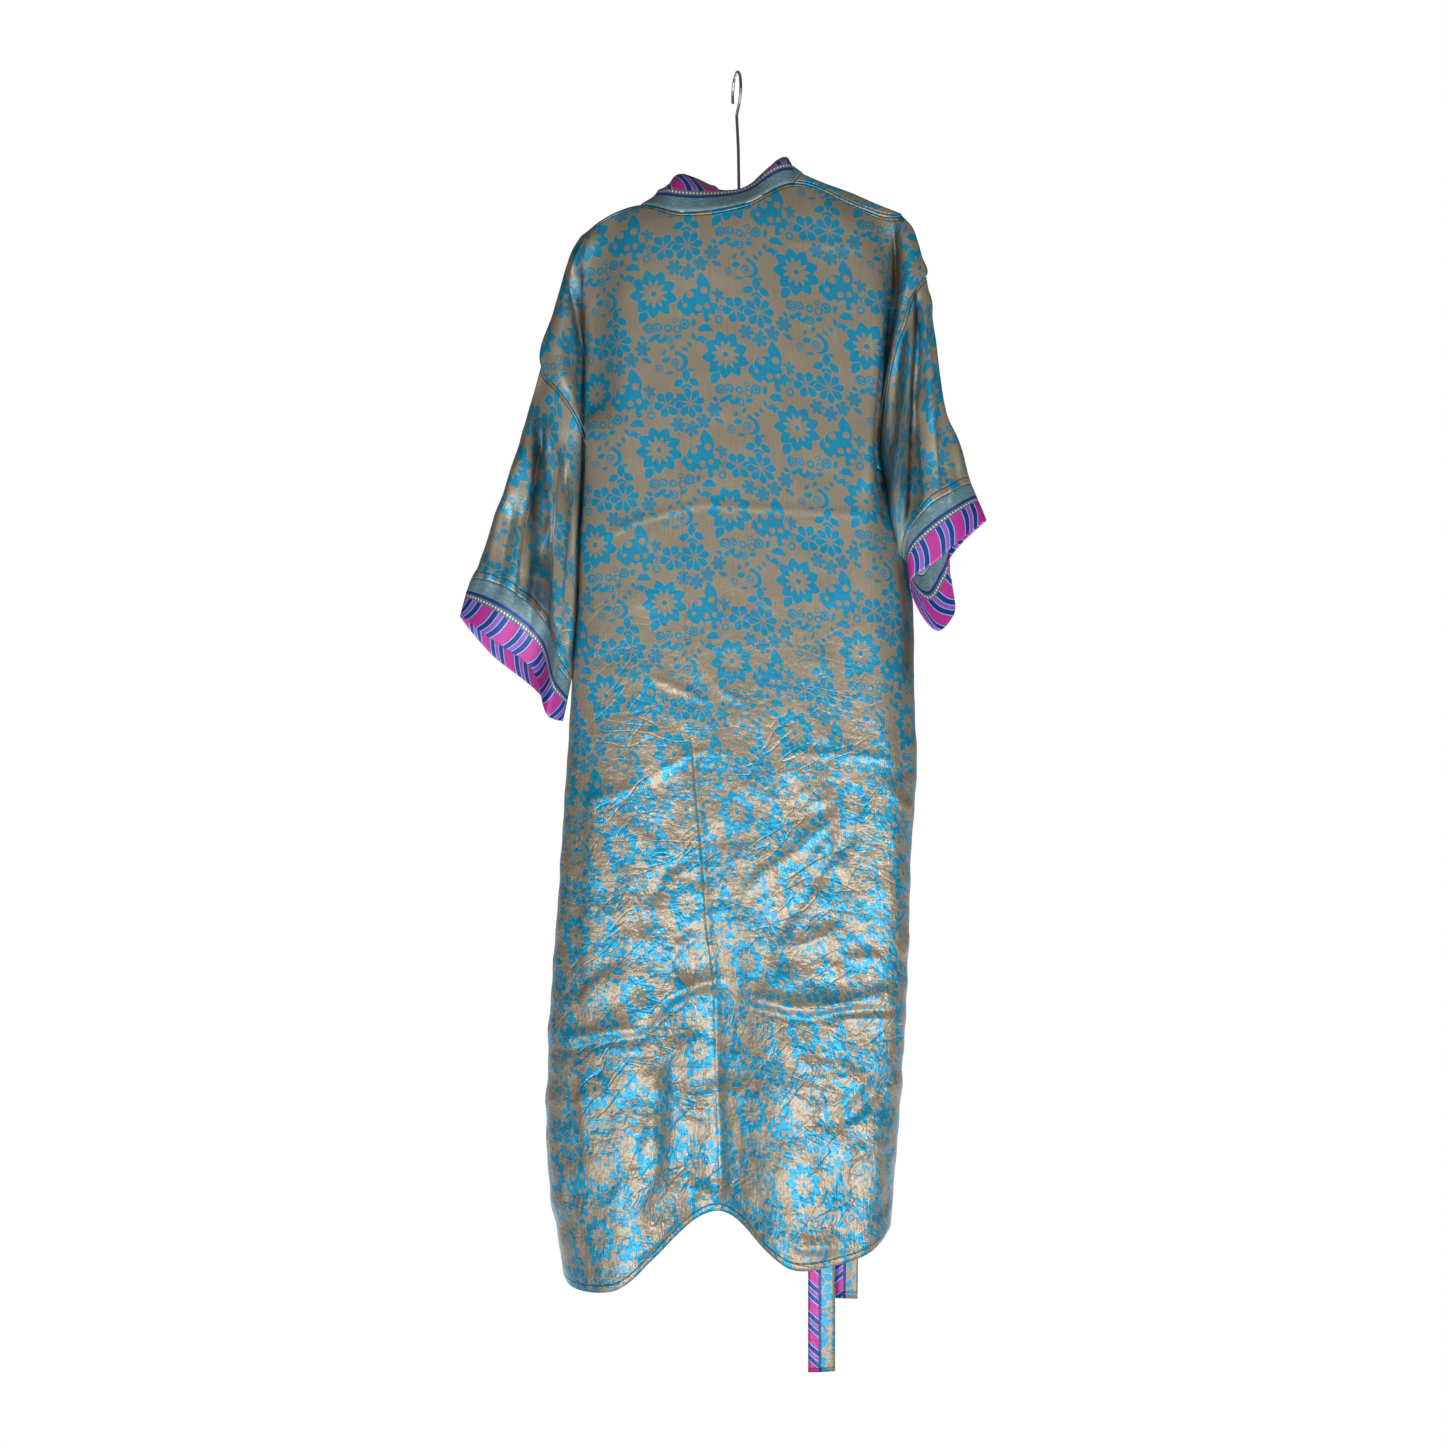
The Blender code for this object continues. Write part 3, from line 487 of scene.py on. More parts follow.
SLEEVE_BACK_CREASES = (
    (4.5, 7, ((530, 410), (520, 470), (500, 560))),
    (-4.5, 8, ((548, 430), (540, 520), (530, 600))),
    (4.0, 6, ((560, 470), (557, 560), (556, 660))),
    (-3.5, 6, ((516, 470), (504, 530), (490, 590))),
    (4.0, 7, ((930, 310), (934, 400), (946, 490))),
    (-4.0, 8, ((918, 360), (922, 450), (932, 530))),
    (3.5, 6, ((908, 330), (910, 420), (912, 520))),
)

# How bright the unseen room is below the robe, above it and at its sides, and where it
# turns from one to the other.
ROOM_BELOW = 2.2
ROOM_ABOVE = 0.2
ROOM_SIDES = 0.15
ROOM_RISE = (-0.35, 0.06)
ROOM_ASIDE = (0.3, 0.9)
FLOOR_RADIUS = 0.85

# Soft lights: name, place and aim in metres, size in metres, watts, colour and whether
# they show in the satin's gloss.
LIGHTS = (
    ("window", (-0.8, -1.7, -1.75), (-0.05, 0, -1.25), 1.0, 13.0, "#E6F2FF", True),
    ("lamp", (0.8, -1.6, -1.65), (0.05, 0, -1.2), 0.8, 20.0, "#F2F6FF", True),
    ("fill", (0.1, -2.8, 0.5), (0.0, 0, -0.6), 1.6, 5.0, "#FFF4E8", False),
)

# The flower repeat, in mm: one repeat is 85 wide with a drop of 71.5, and 186 long.
REPEAT_ACROSS = 85.0
REPEAT_DROP = 71.5
REPEAT_LONG = 186.0
PRINT_SHIFT = (26.0, -266.0)
PRINT_WINDOWS = (
    (0.0, 0.0), (38.0, -50.0), (45.0, 20.0), (62.0, -30.0), (10.0, 60.0), (60.0, 40.0),
)
# How sharply a motif's edge is drawn, and the pitch of a curl as a share of its size.
EDGE_SHARPNESS = 2.2
CURL_TURNS = 1.6
MOON_ASIDE = 4
# The motifs in the order they are laid: kind and dye, x and y from the big flower's centre,
# half length, half width or the share kept between petals, turn in degrees, pale margin,
# petals or a curl's sense, and how blunt the petals are. A row's left out numbers are 0.
PRINT_MOTIFS = (
    ("curl", "turquoise", 17, 53, 5.8, 1.1, 30, 0, 1),
    ("ring", "slate", 27, 41, 5.0, 1.0),
    ("curl", "turquoise", 4, 40, 6.0, 1.1, 0, 0, -1),
    ("curl", "turquoise", -8, 42, 6.8, 1.2, 200, 0, 1),
    ("moon", "turquoise", 8, 52, 6.6, 5.0, -110),
    ("leaf", "turquoise", -4, 54, 5.4, 3.0, 30),
    ("ring", "turquoise", 16, 40, 4.8, 1.2),
    ("leaf", "turquoise", 28, 50, 5.4, 2.8, 20),
    ("leaf", "turquoise", -14, 53, 4.6, 2.6, -30),
    ("leaf", "slate", 21, 63, 4.6, 2.4, 60),
    ("dot", "slate", 25, 31, 3.6, 3.6),
    ("dot", "ground", 25, 31, 2.0, 2.0),
    ("ring", "turquoise", 36, 35, 6.2, 1.3),
    ("dot", "slate", 36, 35, 2.8, 2.8),
    ("leaf", "turquoise", 59, 40, 8.4, 4.6, 20, 0.8),
    ("leaf", "turquoise", 47, 34, 5.4, 2.8, 80),
    ("leaf", "turquoise", 60, 55, 7.0, 3.6, -12),
    ("leaf", "turquoise", 47, 50, 4.8, 2.4, -65),
    ("leaf", "slate", 42, 59, 4.2, 2.2, -50),
    ("leaf", "turquoise", 36, 65, 4.4, 2.3, -30),
    ("leaf", "slate", 28, 69, 4.2, 2.0, -15),
    ("moon", "turquoise", 29, 80, 10.6, 8.6, 175),
    ("curl", "turquoise", 25, 81, 5.8, 1.0, 60, 0, -1),
    ("leaf", "turquoise", 13, 78, 6.0, 3.4, 20),
    ("leaf", "slate", 11, 69, 4.2, 2.4, 60),
    ("leaf", "slate", -10, 79, 6.6, 3.0, -25),
    ("leaf", "turquoise", 40, 90, 6.4, 2.2, 8),
    ("leaf", "slate", 17, 93, 5.4, 2.0, 10),
    ("curl", "slate", 4, 88, 5.4, 1.0, 140, 0, 1),
    ("flower", "slate", 76, 2, 8.4, 0.45, 30, 0, 6, 2.0),
    ("leaf", "turquoise", 72, 14, 5.6, 3.4, -40),
    ("curl", "slate", 80, 18, 5.6, 1.0, 90, 0, 1),
    ("ring", "turquoise", 77, 30, 5.0, 1.1),
    ("leaf", "turquoise", -22, -31, 7.4, 3.4, -22),
    ("leaf", "turquoise", -31, -19, 6.0, 2.8, 30),
    ("curl", "slate", 80, -74, 6.2, 1.1, 90, 0, -1),
    ("leaf", "turquoise", 87, -64, 5.8, 3.2, 30),
    ("leaf", "turquoise", -13, 27, 9.6, 5.6, 62, 0.9),
    ("leaf", "turquoise", 31, 12, 7.6, 3.6, 70),
    ("dot", "turquoise", 51, 8, 17.5, 14.5, -18, 0.9),
    ("leaf", "turquoise", 59, -8, 18.0, 8.6, 100),
    ("leaf", "turquoise", 40, 18, 14.0, 7.6, -28),
    ("leaf", "turquoise", 66, 22, 13.0, 6.8, 66),
    ("dot", "ground", 60, -4, 4.3, 4.3),
    ("dot", "ground", 43, 0, 4.4, 4.4),
    ("dot", "ground", 53, 16, 3.8, 3.8),
    ("dot", "ground", 63, 14, 3.4, 3.4),
    ("dot", "ground", 68, 26, 3.2, 3.2),
    ("dot", "ground", 37, 13, 2.8, 2.8),
    ("dot", "ground", 70, 4, 3.4, 3.4),
    ("dot", "ground", 50, -9, 2.4, 2.4),
    ("dot", "ground", 46, 25, 3.0, 3.0),
    ("flower", "slate", 70, -49, 10.0, 0.5, 0, 0.9, 6, 2.6),
    ("flower", "slate", 56, -35, 9.6, 0.5, 15, 0.9, 5, 2.6),
    ("flower", "slate", 41, -26, 10.2, 0.45, 20, 0.9, 6, 2.6),
    ("flower", "slate", 25, -31, 9.8, 0.45, 0, 0.9, 6, 2.6),
    ("leaf", "turquoise", 37, -90, 8.4, 5.0, 92, 0.8),
    ("leaf", "turquoise", 27, -81, 7.6, 4.6, 30, 0.8),
    ("leaf", "turquoise", 46, -82, 7.6, 4.6, -34, 0.8),
    ("leaf", "turquoise", 37, -76, 7.0, 4.0, 0, 0.8),
    ("flower", "turquoise", 12, -55, 16.2, 0.6, 12, 0.9, 6, 2.4),
    ("flower", "ground", 12, -55, 14.4, 0.02, 42, 0, 6, 0.42),
    ("flower", "turquoise", 40, -57, 18.6, 0.62, 10, 0.9, 8, 2.2),
    ("flower", "ground", 40, -57, 16.6, 0.02, 32.5, 0, 8, 0.42),
    ("flower", "turquoise", 0, 0, 29.0, 0.72, -13, 1.0, 9, 1.15),
    ("flower", "halo", 0, 0, 17.2, 0.5, 8, 0, 11, 1.1),
    ("flower", "ground", 0, 0, 15.8, 0.46, 8, 0, 11, 1.1),
    ("flower", "halo", 0, 0, 8.0, 0.4, 0, 0, 8, 1.1),
    ("dot", "slate", 0, 0, 3.4, 3.4),
)

# Where the stitch lines run, in mm above the hem and below the upper seam, and their pitch.
HEM_STITCH = 8.5
SEAM_STITCH = 4.0
STITCH_PITCH = 2.8
STITCH_SHADES = (0.66, 0.40)
GROOVE_EDGES = (0.0003, 0.0012)

# From which height to which, in metres, the satin's rumples grow, and from what share.
RUMPLED_DROP = (-0.60, -0.95)
RUMPLED_SHARE = (0.10, 1.0)

# Small sharp creases in patches: slant in degrees, how fine they are across and along, in
# waves a mm, and how deep in metres; then their width and the patches' size and edges.
SHARP_CREASES = (
    (36, 0.026, 0.006, 0.032),
    (58, 0.040, 0.010, 0.020),
    (-4, 0.030, 0.007, 0.018),
)
SHARP_WIDTH = 0.022
PATCH_SCALE = (0.008, 0.008, 1.0)
PATCH_EDGES = (0.46, 0.66)

# The border across from its seam, in mm, and its bars along the strip.
ZARI_DEPTH = 18.0
NAVY_DEPTH = 21.5
DOTTED_DEPTH = 27.5
DOT_HALF_PITCH = 2.1
DOT_RADIUS = 1.2
WEFT_WAVES = 3.6
BELT_NAVY_DEPTH = 16.5
BELT_BAR_DEPTH = 13.0
BAR_REPEAT = 39.0
BAR_SLANT = math.radians(34)
BAR_BOW = 3.0
BAR_WAVES = 0.11
BARS = (
    (0.0, "magenta"), (16.0, "light_blue"), (17.3, "navy"), (23.5, "light_blue"),
    (24.8, "purple"), (30.0, "light_blue"), (31.2, "navy"), (37.6, "light_blue"),
)


def smooth_through(keys, places, at):
    """Return the value at a place on a smooth curve through keys set at rising places."""
    index = 0
    while index < len(places) - 2 and at > places[index + 1]:
        index += 1
    steps = [b - a for a, b in zip(places, places[1:])]
    slopes = [(b - a) / step for a, b, step in zip(keys, keys[1:], steps)]

    def tangent(spot):
        if spot == 0:
            return slopes[0]
        if spot == len(slopes):
            return slopes[-1]
        before = steps[spot - 1]
        after = steps[spot]
        return (slopes[spot - 1] * after + slopes[spot] * before) / (before + after)

    step = steps[index]
    local = min(max((at - places[index]) / step, 0.0), 1.0)
    square = local * local
    cube = square * local
    return (
        keys[index] * (2 * cube - 3 * square + 1)
        + tangent(index) * (step * (cube - 2 * square + local))
        + keys[index + 1] * (3 * square - 2 * cube)
        + tangent(index + 1) * (step * (cube - square))
    )


def down_line(line, share):
    """Return the point of a line at a share of its drop from the first row to the last."""
    drops = [line[0][2] - row[2] for row in line]
    return smooth_through([Vector(row) for row in line], drops, share * drops[-1])


def run_lengths(points):
    """Return how far each point of a line lies from its first, measured along it."""
    lengths = [0.0]
    for a, b in zip(points, points[1:]):
        lengths.append(lengths[-1] + (b - a).length)
    return lengths


def across(keys, columns):
    """Return evenly counted points between each two keys of a row, on a smooth curve."""
    places = run_lengths(keys)
    per_span = columns // (len(keys) - 1)
    row = []
    for start, end in zip(places, places[1:]):
        for step in range(per_span):
            row.append(smooth_through(keys, places, start + (end - start) * step / per_span))
    row.append(keys[-1].copy())
    return row


def row_shares(rows, crowd):
    """Return the shares of the drop for each row, closer together at the top."""
    return [(row / rows) ** crowd for row in range(rows + 1)]


def panel_grid(lines, shares, columns):
    """Return rows of points across a panel, smooth through its lines."""
    return [across([down_line(line, share) for line in lines], columns) for share in shares]


def top_edge_at(edge, x):
    """Return the point of the back's top edge that lies at x, right of the neck."""
    for a, b in zip(edge, edge[1:]):
        if a.x <= x <= b.x and b.x > 0:
            return a.lerp(b, (x - a.x) / (b.x - a.x))
    return edge[-1].copy()


def closed_ring(keys, per_span):
    """Return points round a closed ring, smooth through its keys."""
    wrapped = [keys[-2], keys[-1]] + list(keys) + [keys[0], keys[1]]
    row = across(wrapped, per_span * (len(wrapped) - 1))
    return row[2 * per_span:(2 + len(keys)) * per_span]


def edge_at(line, height):
    """Return the point of a panel's edge line at a height."""
    return down_line(line, (line[0][2] - height) / (line[0][2] - line[-1][2]))


def along_edge(line, top, foot, count):
    """Return evenly spaced points on an edge line between two heights."""
    fine = [
        edge_at(line, top + (foot - top) * step / EDGE_POINTS)
        for step in range(EDGE_POINTS + 1)
    ]
    lengths = run_lengths(fine)
    return [smooth_through(fine, lengths, lengths[-1] * k / count) for k in range(count + 1)]


def band_profile(foot, share):
    """Return the points across the neck band that stands on its foot."""
    places = [row[0] for row in BAND_LEAN]
    plan, lower, upper = smooth_through(
        [Vector(row[1:]) for row in BAND_LEAN], places, share
    )
    inward = Vector((math.cos(math.radians(plan)), math.sin(math.radians(plan)), 0))
    points = []
    place = foot.copy()
    previous = -SEAM_GAP - WALL * math.sin(2 * math.radians(min(lower, 90)))
    for width in BAND_ACROSS:
        middle = (width + previous) / 2
        bend = min(max((middle - BAND_BEND_FROM) / (BAND_BEND_TO - BAND_BEND_FROM), 0), 1)
        lean = math.radians(lower + (upper - lower) * bend)
        step = inward * math.sin(lean) + Vector((0, 0, math.cos(lean)))
        place = place + step * (width - previous)
        points.append(place)
        previous = width
    return points


def linear(colour):
    """Turn an sRGB hex colour into linear red, green, blue and alpha."""
    parts = [int(colour[at:at + 2], 16) / 255 for at in (1, 3, 5)]
    curve = [
        part / 12.92 if part <= 0.04045 else ((part + 0.055) / 1.055) ** 2.4 for part in parts
    ]
    return (*curve, 1.0)


def node(tree, kind, *feeds, out=0, **settings):
    """Add one node with its settings and links; return one of its outputs, or all."""
    name, *operation = kind.split()
    made = tree.nodes.new("ShaderNode" + name)
    if operation:
        made.operation = operation[0]
    for key, value in settings.items():
        setattr(made, key, value)
    for socket, feed in zip(made.inputs, feeds):
        if isinstance(feed, bpy.types.NodeSocket):
            tree.links.new(feed, socket)
        elif feed is not None:
            socket.default_value = feed
    return made.outputs if out is None else made.outputs[out]


def new_material(name, roughness, metallic=0.0):
    """Start a node material; return it, the adder of its nodes and its main shader."""
    material = bpy.data.materials.new(name)
    material.use_nodes = True
    shader = material.node_tree.nodes["Principled BSDF"]
    shader.inputs["Roughness"].default_value = roughness
    shader.inputs["Metallic"].default_value = metallic
    return material, partial(node, material.node_tree), shader


def plug(shader, name, feed):
    """Link an output to a named input of a shader."""
    shader.id_data.links.new(feed, shader.inputs[name])


def paint(add, below, depth, colour, margin=0.0):
    """Lay a colour over another wherever the depth in mm is above minus the margin."""
    start = 0.5 + margin * EDGE_SHARPNESS
    cover = add("Math MULTIPLY_ADD", depth, EDGE_SHARPNESS, start, use_clamp=True)
    return add("MixRGB", cover, below, colour)


def paint_edge(add, below, across_mm, depth, colour):
    """Lay a colour over a strip from its seam to a depth in mm."""
    return paint(add, below, add("Math SUBTRACT", depth, across_mm), colour)


def drawn_noise(add, place, across_scale, along_scale, detail, roughness, **settings):
    """Add noise that is drawn out differently across and along the cloth."""
    drawn = add("VectorMath MULTIPLY", place, (across_scale, along_scale, 1.0))
    return add("TexNoise", drawn, None, 1.0, detail, roughness, **settings)


def turned_place(add, place, turn):
    """Turn a place on the cloth by some degrees."""
    return add(
        "VectorRotate", place, None, None, math.radians(turn), rotation_type="Z_AXIS"
    )


def print_windows(add, place):
    """Fold the cloth onto one repeat, once for each window that motifs are drawn in."""
    x, y, _ = add("SeparateXYZ", place, out=None)
    windows = []
    for across_at, along_at in PRINT_WINDOWS:
        moved = add("Math ADD", x, REPEAT_ACROSS / 2 - across_at)
        column = add("Math SNAP", moved, REPEAT_ACROSS)
        folded_x = add("Math SUBTRACT", x, column)
        dropped = add("Math MULTIPLY_ADD", column, -REPEAT_DROP / REPEAT_ACROSS, y)
        folded_y = add(
            "Math WRAP", dropped, along_at + REPEAT_LONG / 2, along_at - REPEAT_LONG / 2
        )
        windows.append(add("CombineXYZ", folded_x, folded_y))
    return windows


def best_window(x, y):
    """Return the window in which a motif lies furthest from the window's edges."""
    rooms = [
        min(REPEAT_ACROSS / 2 - abs(x - across_at), REPEAT_LONG / 2 - abs(y - along_at))
        for across_at, along_at in PRINT_WINDOWS
    ]
    return rooms.index(max(rooms))


def motif_depth(add, place, kind, long, wide, turn, count, blunt):
    """Return how deep a place lies inside a motif, in mm, and below 0 outside it."""
    if kind == "flower":
        reach = add("VectorMath LENGTH", place, out=1)
        x, y, _ = add("SeparateXYZ", place, out=None)
        angle = add("Math ARCTAN2", y, x)
        turned = add("Math ADD", angle, math.radians(turn))
        aside = add("Math PINGPONG", turned, math.pi / count)
        share = add("Math MULTIPLY", aside, count / math.pi)
        bowed = add("Math POWER", share, blunt)
        edge = add("Math MULTIPLY_ADD", bowed, -long * (1 - wide), long)
        return add("Math SUBTRACT", edge, reach)
    if kind == "ring":
        reach = add("VectorMath LENGTH", place, out=1)
        aside = add("Math SUBTRACT", reach, long - wide)
        return add("Math SUBTRACT", wide, add("Math ABSOLUTE", aside))
    if kind == "moon":
        way = math.radians(turn)
        aside = (math.cos(way) * MOON_ASIDE, math.sin(way) * MOON_ASIDE, 0.0)
        outer = add("VectorMath LENGTH", place, out=1)
        hollow = add("VectorMath SUBTRACT", place, aside)
        inner = add("VectorMath LENGTH", hollow, out=1)
        within = add("Math SUBTRACT", long, outer)
        beyond = add("Math SUBTRACT", inner, wide)
        return add("Math MINIMUM", within, beyond)
    turned = turned_place(add, place, turn)
    if kind == "dot":
        drawn = add("VectorMath MULTIPLY", turned, (1.0, long / wide, 1.0))
        reach = add("VectorMath LENGTH", drawn, out=1)
        return add("Math SUBTRACT", long, reach)
    x, y, _ = add("SeparateXYZ", turned, out=None)
    if kind == "leaf":
        square = add("Math MULTIPLY", x, x)
        side = add("Math MULTIPLY_ADD", square, -wide / long ** 2, wide)
        return add("Math SUBTRACT", side, add("Math ABSOLUTE", y))
    reach = add("VectorMath LENGTH", turned, out=1)
    angle = add("Math ARCTAN2", y, x)
    pitch = long / CURL_TURNS
    wound = add("Math MULTIPLY_ADD", angle, -count * pitch / math.tau, reach)
    phase = add("Math WRAP", wound, pitch / 2, -pitch / 2)
    line = add("Math SUBTRACT", wide, add("Math ABSOLUTE", phase))
    return add("Math MINIMUM", line, add("Math SUBTRACT", long, reach))


def flower_print(add, place, colours):
    """Draw the flower repeat, motif over motif, and return its colour."""
    windows = print_windows(add, place)
    colour = colours["ground"]
    for kind, dye, *row in PRINT_MOTIFS:
        x, y, long, wide, turn, margin, count, blunt = row + [0] * (8 - len(row))
        window = windows[best_window(x, y)]
        local = add("VectorMath SUBTRACT", window, (x, y, 0.0))
        depth = motif_depth(add, local, kind, long, wide, turn, count, blunt)
        if margin:
            colour = paint(add, colour, depth, colours["halo"], margin)
        colour = paint(add, colour, depth, colours[dye])
    return colour


def bar_stripes(add, along, across_mm, colours):
    """Draw the slanted bars of the border, each a little curved."""
    lean = add("Math MULTIPLY", across_mm, math.tan(BAR_SLANT))
    wave = add("Math SINE", add("Math MULTIPLY", across_mm, BAR_WAVES))
    bowed = add("Math MULTIPLY_ADD", wave, BAR_BOW, lean)
    moved = add("Math ADD", along, bowed)
    share = add("Math DIVIDE", add("Math WRAP", moved, BAR_REPEAT, 0.0), BAR_REPEAT)
    colour = add("ValToRGB", share)
    ramp = colour.node.color_ramp
    ramp.interpolation = "CONSTANT"
    while len(ramp.elements) < len(BARS):
        ramp.elements.new(1.0)
    for element, (start, dye) in zip(ramp.elements, BARS):
        element.position = start / BAR_REPEAT
        element.color = colours[dye]
    return colour


def dye_colours(colours):
    """Return the object's chosen colours by name, as plain linear values."""
    names = (
        "ground", "halo", "turquoise", "slate", "magenta", "purple", "navy", "light_blue",
        "zari", "grey", "cream",
    )
    return {name: (*getattr(colours, name), 1.0) for name in names}


def cloth_place(add):
    """Return the cloth's own place in mm from its UV map, which is in metres."""
    uv = add("UVMap", uv_map="cloth")
    return add("VectorMath SCALE", uv, None, None, 1000.0)


def seam_groove(add):
    """Return 1 on plain cloth, sinking to 0 along the stitched hem and the upper seam."""
    lower, upper, _ = add("SeparateXYZ", add("UVMap", uv_map="seams"), out=None)
    groove = 1.0
    for reach, place in ((lower, HEM_STITCH), (upper, SEAM_STITCH)):
        aside = add("Math ABSOLUTE", add("Math SUBTRACT", reach, place * MM))
        line = add("MapRange", aside, *GROOVE_EDGES)
        groove = add("Math MULTIPLY", line, groove)
    return groove


def stitched(add, place, colour):
    """Darken the cloth in the groove, and a little more at each stitch hole."""
    turns = add("Math MULTIPLY", add("SeparateXYZ", place), math.tau / STITCH_PITCH)
    deep = add("MapRange", add("Math SINE", turns), 0.0, 1.0, *STITCH_SHADES)
    light = add("MapRange", seam_groove(add), 0.0, 1.0, deep, 1.0)
    return add("VectorMath SCALE", colour, None, None, light)


def silk_bump(add, shader, place, strength):
    """Give the satin its fine upright lines and, lower down, rumples and sharp creases.

    Noise is set in waves a mm across and along the cloth, and a bump's height in metres.
    """
    height = add("SeparateXYZ", add("TexCoord", out=3), out=2)
    low = add("MapRange", height, *RUMPLED_DROP, *RUMPLED_SHARE)
    threads = drawn_noise(add, place, 0.9, 0.05, 2.0, 0.6)
    rumples = drawn_noise(add, place, 0.026, 0.018, 4.0, 0.55, noise_dimensions="2D")
    normal = add("Bump", strength, 0.0005, None, threads)
    normal = add("Bump", 1.0, 0.0009, None, seam_groove(add), normal)
    normal = add("Bump", low, 0.0048 * strength, None, rumples, normal)
    puckers = drawn_noise(add, place, 0.060, 0.11, 3.0, 0.6, noise_dimensions="2D")
    normal = add("Bump", low, 0.0012 * strength, None, puckers, normal)
    for slant, short, long, deep in SHARP_CREASES:
        turned = turned_place(add, place, slant)
        field = drawn_noise(add, turned, long, short, 2.0, 0.5, noise_dimensions="2D")
        line = add("Math ABSOLUTE", add("Math SUBTRACT", field, 0.5))
        edge = add("Math MINIMUM", line, SHARP_WIDTH)
        patch = add("VectorMath MULTIPLY_ADD", place, PATCH_SCALE, (slant, 0, 0))
        patches = add("TexNoise", patch, None, 1.0, 1.0, 0.5, noise_dimensions="2D")
        shown = add("MapRange", patches, *PATCH_EDGES)
        share = add("Math MULTIPLY", shown, low)
        normal = add("Bump", share, deep * strength, None, edge, normal)
    plug(shader, "Normal", normal)


def printed_satin(colours):
    """Polyester satin, woven with a bright face and printed in two dyes.

    The long floats of the face thread give a broad soft gloss that runs along the creases,
    and the deepest folds get a painted shade that darkens the colour.
    """
    material, add, shader = new_material("Printed polyester satin", 0.36, 0.42)
    dyes = dye_colours(colours)
    place = cloth_place(add)
    cloudy = drawn_noise(add, place, 0.012, 0.012, 3.0, 0.6)
    weak = add("Math MULTIPLY_ADD", cloudy, 1.4, -0.45, use_clamp=True)
    dyes["turquoise"] = add("MixRGB", weak, dyes["turquoise"], dyes["slate"])
    colour = flower_print(add, place, dyes)
    threads = drawn_noise(add, place, 0.85, 0.02, 2.0, 0.7)
    light = add("Math MULTIPLY_ADD", threads, 0.5, 0.75)
    # Painted shade: the folds map darkens the colour where narrow folds lie in shade.
    painted_shade = add("SeparateXYZ", add("UVMap", uv_map="folds"))
    shown = add("Math MULTIPLY_ADD", painted_shade, -PAINTED_FOLD_SHADE, 1.0)
    light = add("Math MULTIPLY", light, shown)
    colour = add("VectorMath SCALE", colour, None, None, light)
    colour = stitched(add, place, colour)
    plug(shader, "Base Color", colour)
    silk_bump(add, shader, place, 1.0)
    shader.inputs["IOR"].default_value = 1.65
    return material


def wrong_side(colours):
    """The matt wrong side of the satin, where the print only shows through faintly."""
    material, add, shader = new_material("Satin wrong side", 0.62)
    dyes = dye_colours(colours)
    place = cloth_place(add)
    blotch = drawn_noise(add, place, 0.03, 0.03, 3.0, 0.6)
    faint = add("Math MULTIPLY_ADD", blotch, 1.2, -0.45, use_clamp=True)
    colour = add("MixRGB", faint, dyes["ground"], dyes["slate"])
    plug(shader, "Base Color", colour)
    return material


def woven_border(colours):
    """Jacquard border ribbon: dull zari, a navy rule, a dotted rule and satin bars."""
    material, add, shader = new_material("Woven jacquard border", 0.42, 0.15)
    dyes = dye_colours(colours)
    place = cloth_place(add)
    along, across_mm, _ = add("SeparateXYZ", place, out=None)
    # Painted highlight: cream glints of the metal thread, painted into the zari's colour.
    glint = drawn_noise(add, place, 0.12, 1.3, 2.0, 0.7)
    spark = add("Math MULTIPLY_ADD", glint, 3.4, -1.75, use_clamp=True)
    zari = add("MixRGB", spark, dyes["zari"], dyes["cream"])
    picks = add("Math SINE", add("Math MULTIPLY", across_mm, WEFT_WAVES))
    shade = add("Math MULTIPLY_ADD", picks, 0.16, 0.86)
    zari = add("VectorMath SCALE", zari, None, None, shade)
    colour = bar_stripes(add, along, across_mm, dyes)
    dot_x = add("Math WRAP", along, DOT_HALF_PITCH, -DOT_HALF_PITCH)
    dot_y = add("Math SUBTRACT", across_mm, (NAVY_DEPTH + DOTTED_DEPTH) / 2)
    dot_place = add("CombineXYZ", dot_x, dot_y)
    dot_reach = add("VectorMath LENGTH", dot_place, out=1)
    dot_depth = add("Math SUBTRACT", DOT_RADIUS, dot_reach)
    dotted = paint(add, dyes["grey"], dot_depth, dyes["cream"])
    rules = ((DOTTED_DEPTH, dotted), (NAVY_DEPTH, dyes["navy"]), (ZARI_DEPTH, zari))
    for depth, dye in rules:
        colour = paint_edge(add, colour, across_mm, depth, dye)
    plug(shader, "Base Color", colour)
    weave = add("TexNoise", place, None, 0.9, 2.0, 0.6)
    plug(shader, "Normal", add("Bump", 0.5, 0.0004, None, weave))
    return material


def belt_cloth(colours):
    """The belt: bars and a navy rule at one edge, and printed satin for the rest."""
    material, add, shader = new_material("Belt border and satin", 0.38, 0.2)
    dyes = dye_colours(colours)
    place = cloth_place(add)
    along, across_mm, _ = add("SeparateXYZ", place, out=None)
    colour = flower_print(add, place, dyes)
    bars = bar_stripes(add, along, across_mm, dyes)
    for depth, dye in ((BELT_NAVY_DEPTH, dyes["navy"]), (BELT_BAR_DEPTH, bars)):
        colour = paint_edge(add, colour, across_mm, depth, dye)
    plug(shader, "Base Color", colour)
    silk_bump(add, shader, place, 0.5)
    return material


def loop_cord():
    """Twisted rayon cord, whose strands wind round it and catch the light in turn."""
    material, add, shader = new_material("Twisted rayon cord", 0.55)
    place = add("TexCoord", out=3)
    strands = add("TexWave", place, 420.0, 2.0, 2.0, bands_direction="DIAGONAL")
    # Painted highlight: the pale band on each strand is the light it catches, painted in.
    colour = add("MixRGB", strands, linear("#3E5F66"), linear("#7FA0A2"))
    plug(shader, "Base Color", colour)
    plug(shader, "Normal", add("Bump", 0.6, 0.0004, None, strands))
    return material


